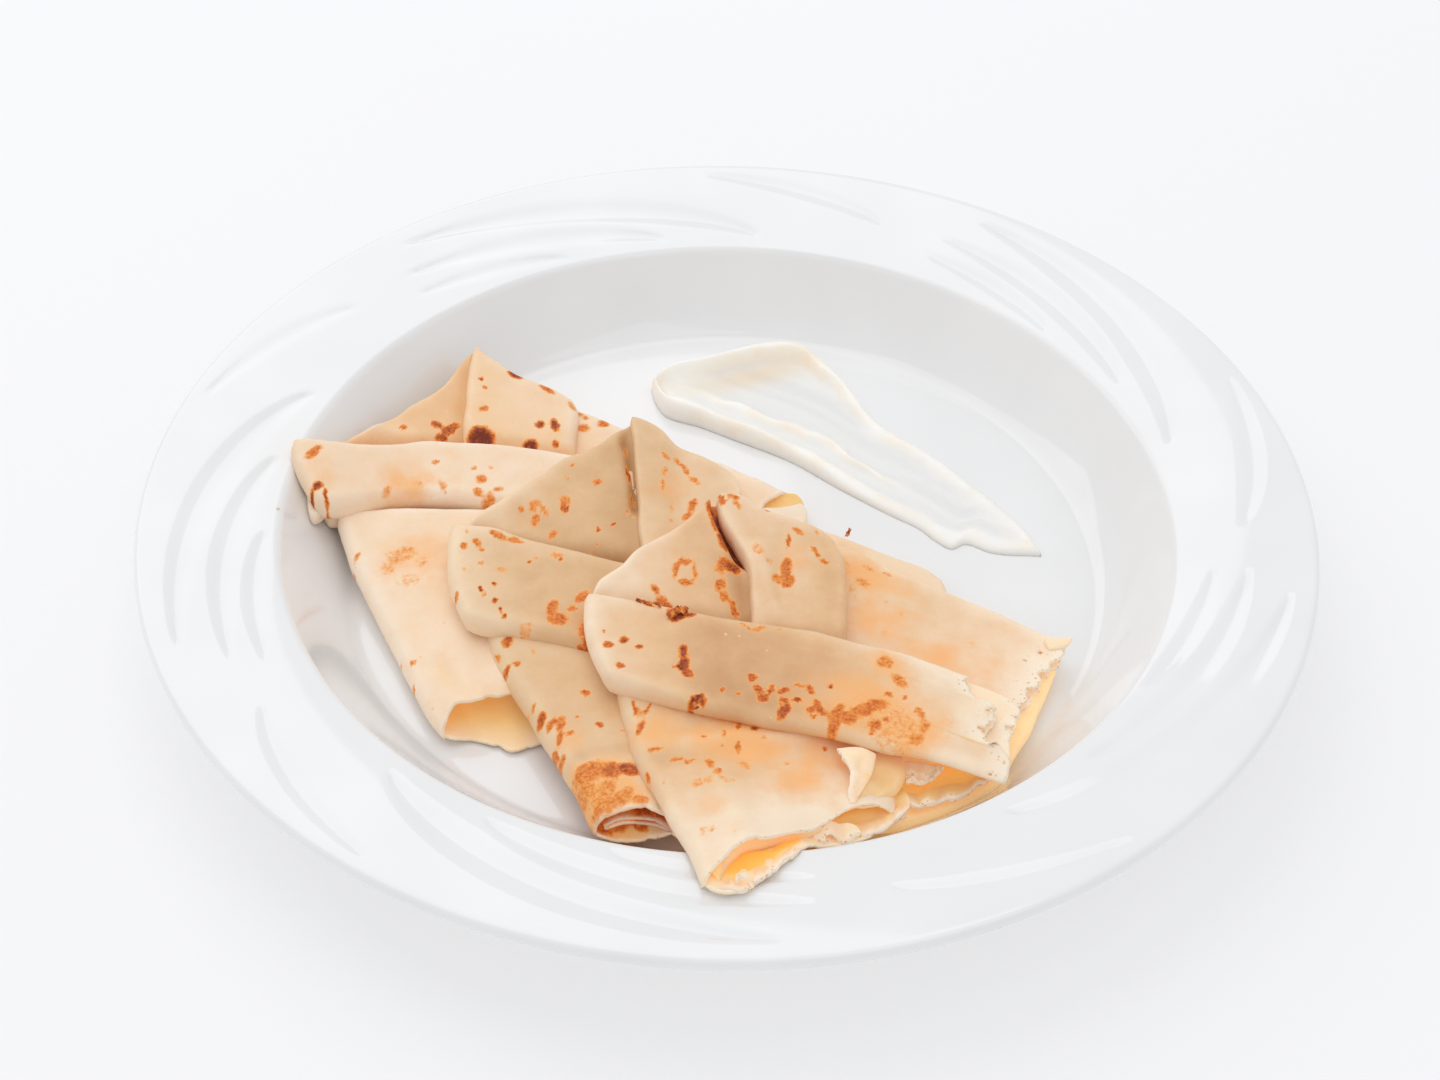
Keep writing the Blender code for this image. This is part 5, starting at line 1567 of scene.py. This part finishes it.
@dataclass
class CreamSmear:
    """A spoonful of sour cream, dragged from the back left to the right: a raised rim round a trough."""
    far: Points = ((-20.5, 68, 0), (-16, 75, 0), (-6, 79, 0), (3, 83, 0), (8, 85, 0), (19, 85, 0),
                   (25, 79, 0), (32, 68, 0), (39, 55, 0), (52, 43, 0), (65, 28, 0), (73, 17, 0),
                   (77.5, 7, 0))
    near: Points = ((-20.5, 68, 0), (-19, 62, 0), (-17, 58, 0), (-7, 53, 0), (2, 48, 0), (16, 40, 0),
                    (28, 30, 0), (41, 20, 0), (48, 15, 0), (52, 10.5, 0), (55.5, 8, 0),
                    (58.5, 9.8, 0), (65, 7, 0), (77.5, 6, 0))
    rim: float = 5.0
    trough: float = 0.55
    thinnest: float = 0.35
    edge_width: float = 2.6
    ridge_width: float = 2.6
    second_rim: float = 1.7
    second_place: float = 11.5       # from the near edge
    second_width: float = 1.5
    heel: float = 1.2
    drag: float = 0.22               # depth of the spoon's fine tracks
    shade_middle: tuple[float, float] = (6.0, 74.0)
    shade_lean_deg: float = 20.0      # the hollow behind the heel lies askew
    shade_long: float = 17.0
    shade_short: float = 4.6
    shade_strength: float = 0.85
    columns: int = 90
    rows: int = 200
    seed: int = 91

    def heights(self, x: np.ndarray, y: np.ndarray, u: np.ndarray, v: np.ndarray,
                width: np.ndarray, length: float) -> np.ndarray:
        """How thick the cream lies at each place.

        Args:
            x: places along x in mm.
            y: places along y in mm.
            u: share of the way from the left end to the tip.
            v: share of the way from near to far.
            width: the smear's width in mm at each place.
            length: the smear's length in mm.

        Returns:
            Thickness in mm.
        """
        from_near, from_far = v * width, (1 - v) * width
        from_end = np.minimum(u, 1 - u) * length
        gap = np.minimum(np.minimum(from_near, from_far), from_end * 1.2)
        push = 0.9 * lattice_noise(x, y, 7, self.seed)
        edge = np.sqrt(1 - (1 - np.clip(gap / self.edge_width, 0, 1)) ** 2)
        ridge = self.rim * (1 - 0.68 * smooth(u, 0.12, 0.75)) * (1 + 0.16 * lattice_noise(
            x, y, 10, self.seed + 1))
        crest = np.exp(-(np.maximum(gap + push - self.edge_width, 0) / self.ridge_width) ** 2)
        # The spoon's second, lower ridge runs beside the near one and fades before the tip.
        off = (from_near + 2 * push - self.second_place) / self.second_width
        second = (self.second_rim * np.exp(-off ** 2) * smooth(u, 0.1, 0.25)
                  * (1 - smooth(u, 0.5, 0.72)) * smooth(gap, 5.0, 9.0))
        heel = self.heel * (1 - smooth(u * length, 6.0, 26.0)) * smooth(gap, 4.0, 8.0)
        drag = (self.drag * lattice_noise(v * width, u * 7.0, 2.2, self.seed + 3)
                * smooth(gap, 2.0, 7.0))
        height = edge * (self.trough + (ridge - self.trough) * crest + second + heel + drag)
        return np.maximum(height, self.thinnest * edge)

    def hollow_shade_at(self, x: np.ndarray, y: np.ndarray) -> np.ndarray:
        """How much painted warm shade lies in the hollow behind the heel, at each place."""
        lean = math.radians(self.shade_lean_deg)
        dx, dy = x - self.shade_middle[0], y - self.shade_middle[1]
        along = dx * math.cos(lean) + dy * math.sin(lean)
        over = dy * math.cos(lean) - dx * math.sin(lean)
        return self.shade_strength * np.exp(-((along / self.shade_long) ** 2
                                             + (over / self.shade_short) ** 2))

    def build(self) -> bpy.types.Object:
        """Build and dress the smear.

        Returns:
            The piece.
        """
        far, near = Rail(self.far), Rail(self.near)
        u = np.linspace(0, 1, self.rows)[:, None] * np.ones(self.columns)
        v = (0.5 - 0.5 * np.cos(np.linspace(0, math.pi, self.columns))) * np.ones((self.rows, 1))
        f, n = far.at(u), near.at(u)
        point = n * (1 - v[..., None]) + f * v[..., None]
        x, y = point[..., 0], point[..., 1]
        height = self.heights(x, y, u, v, np.linalg.norm(f - n, axis=-1), far.length)
        bed = FLOOR_TOP + PLATE.height(np.hypot(x, y))
        top, low = (np.stack([x, y, z], axis=-1).reshape(-1, 3) for z in (bed + height, bed + 0.01))
        above = np.arange(u.size).reshape(u.shape)
        below = above + above.size
        for where in (np.s_[0, :], np.s_[-1, :], np.s_[:, 0], np.s_[:, -1]):
            below[where] = above[where]
        faces = np.vstack([quads(above).reshape(-1, 4), quads(below)[..., ::-1].reshape(-1, 4)])
        layers = {"hollow": both_sheets(self.hollow_shade_at(x, y)),
                  "thick": both_sheets(smooth(height, 0.6, 2.0))}
        verts, faces, layers = drop_unused(np.vstack([top, low]), faces, layers)
        piece = make_object("cream_smear_dragged", verts, faces, layers, SourCream().make())
        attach(piece, "root")
        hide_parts("cream_smear")
        return piece


# Studio

@dataclass
class Studio:
    """Floor, soft light and the camera of the picture. Lights and floor are in metres."""
    camera_at: tuple[float, float, float] = (-1.68, -463.84, 440.36)
    camera_to: tuple[float, float, float] = (-1.68, 10.22, 5.5)
    camera_roll_deg: float = 0.94
    lens: float = 65.0
    sky: str = "#FBFCFF"
    world_strength: float = 0.78
    key_at: tuple[float, float, float] = (-0.55, 0.75, 1.25)
    key_size: float = 1.7
    key_power: float = 7.0
    front_at: tuple[float, float, float] = (0.35, -0.25, 1.35)
    front_size: float = 0.7
    front_power: float = 0.8
    floor_half: float = 3.0
    floor_points: int = 24

    def build(self) -> None:
        """Make the floor, lights, world and camera."""
        self.lay_floor()
        self.soft_box("soft_box_key", self.key_at, self.key_size, self.key_power)
        self.soft_box("soft_box_front", self.front_at, self.front_size, self.front_power)
        world = bpy.data.worlds.new("studio_world")
        world.use_nodes = True
        feed(world.node_tree, world.node_tree.nodes["Background"],
             {"Color": linear(self.sky), "Strength": self.world_strength})
        bpy.context.scene.world = world
        bpy.context.scene.view_settings.view_transform = "Standard"
        self.place_camera()

    def lay_floor(self) -> None:
        """Make the light table's top, which isn't part of the object."""
        line = np.linspace(-self.floor_half, self.floor_half, self.floor_points)
        verts = [(a, b, 0.0) for a in line for b in line]
        index = np.arange(len(verts)).reshape(self.floor_points, self.floor_points)
        mesh = bpy.data.meshes.new("studio_floor")
        mesh.from_pydata(verts, [], quads(index).reshape(-1, 4).tolist())
        mesh.materials.append(StudioFloor().make())
        ground = bpy.data.objects.new("studio_floor", mesh)
        bpy.context.scene.collection.objects.link(ground)

    def soft_box(self, name: str, place: tuple[float, float, float], size: float,
                 power: float) -> None:
        """Hang one soft box that faces the plate.

        Args:
            name: the light's name.
            place: its middle in metres.
            size: its side in metres.
            power: watts.
        """
        data = bpy.data.lights.new(name, "AREA")
        data.shape, data.size, data.energy = "SQUARE", size, power
        lamp = bpy.data.objects.new(name, data)
        lamp.location = place
        lamp.rotation_euler = Vector(place).to_track_quat("Z", "Y").to_euler()
        bpy.context.scene.collection.objects.link(lamp)

    def place_camera(self) -> None:
        """Set the camera at the photograph's angle."""
        data = bpy.data.cameras.new("camera")
        data.sensor_width, data.lens = 36.0, self.lens
        data.clip_start, data.clip_end = 0.01, 20.0
        camera = bpy.data.objects.new("camera", data)
        eye, aim = Vector(self.camera_at) * MM, Vector(self.camera_to) * MM
        turn = (aim - eye).to_track_quat("-Z", "Y").to_matrix().to_4x4()
        roll = Matrix.Rotation(math.radians(self.camera_roll_deg), 4, "Z")
        camera.matrix_world = Matrix.Translation(eye) @ turn @ roll
        bpy.context.scene.collection.objects.link(camera)
        bpy.context.scene.camera = camera


def main() -> None:
    """Build every sub-assembly in order and report each piece."""
    logging.basicConfig(level=logging.INFO, format="%(name)s: %(message)s")
    Studio().build()
    pieces = [PLATE.build(), CreamSmear().build()]
    for crepe in (left_crepe(), middle_crepe(), front_crepe()):
        pieces += crepe.build()
    pieces.append(LooseBits().build())
    for piece in pieces:
        piece.data.calc_loop_triangles()
        LOG.info("%s: %d triangles", piece.name, len(piece.data.loop_triangles))


if __name__ == "__main__":
    main()
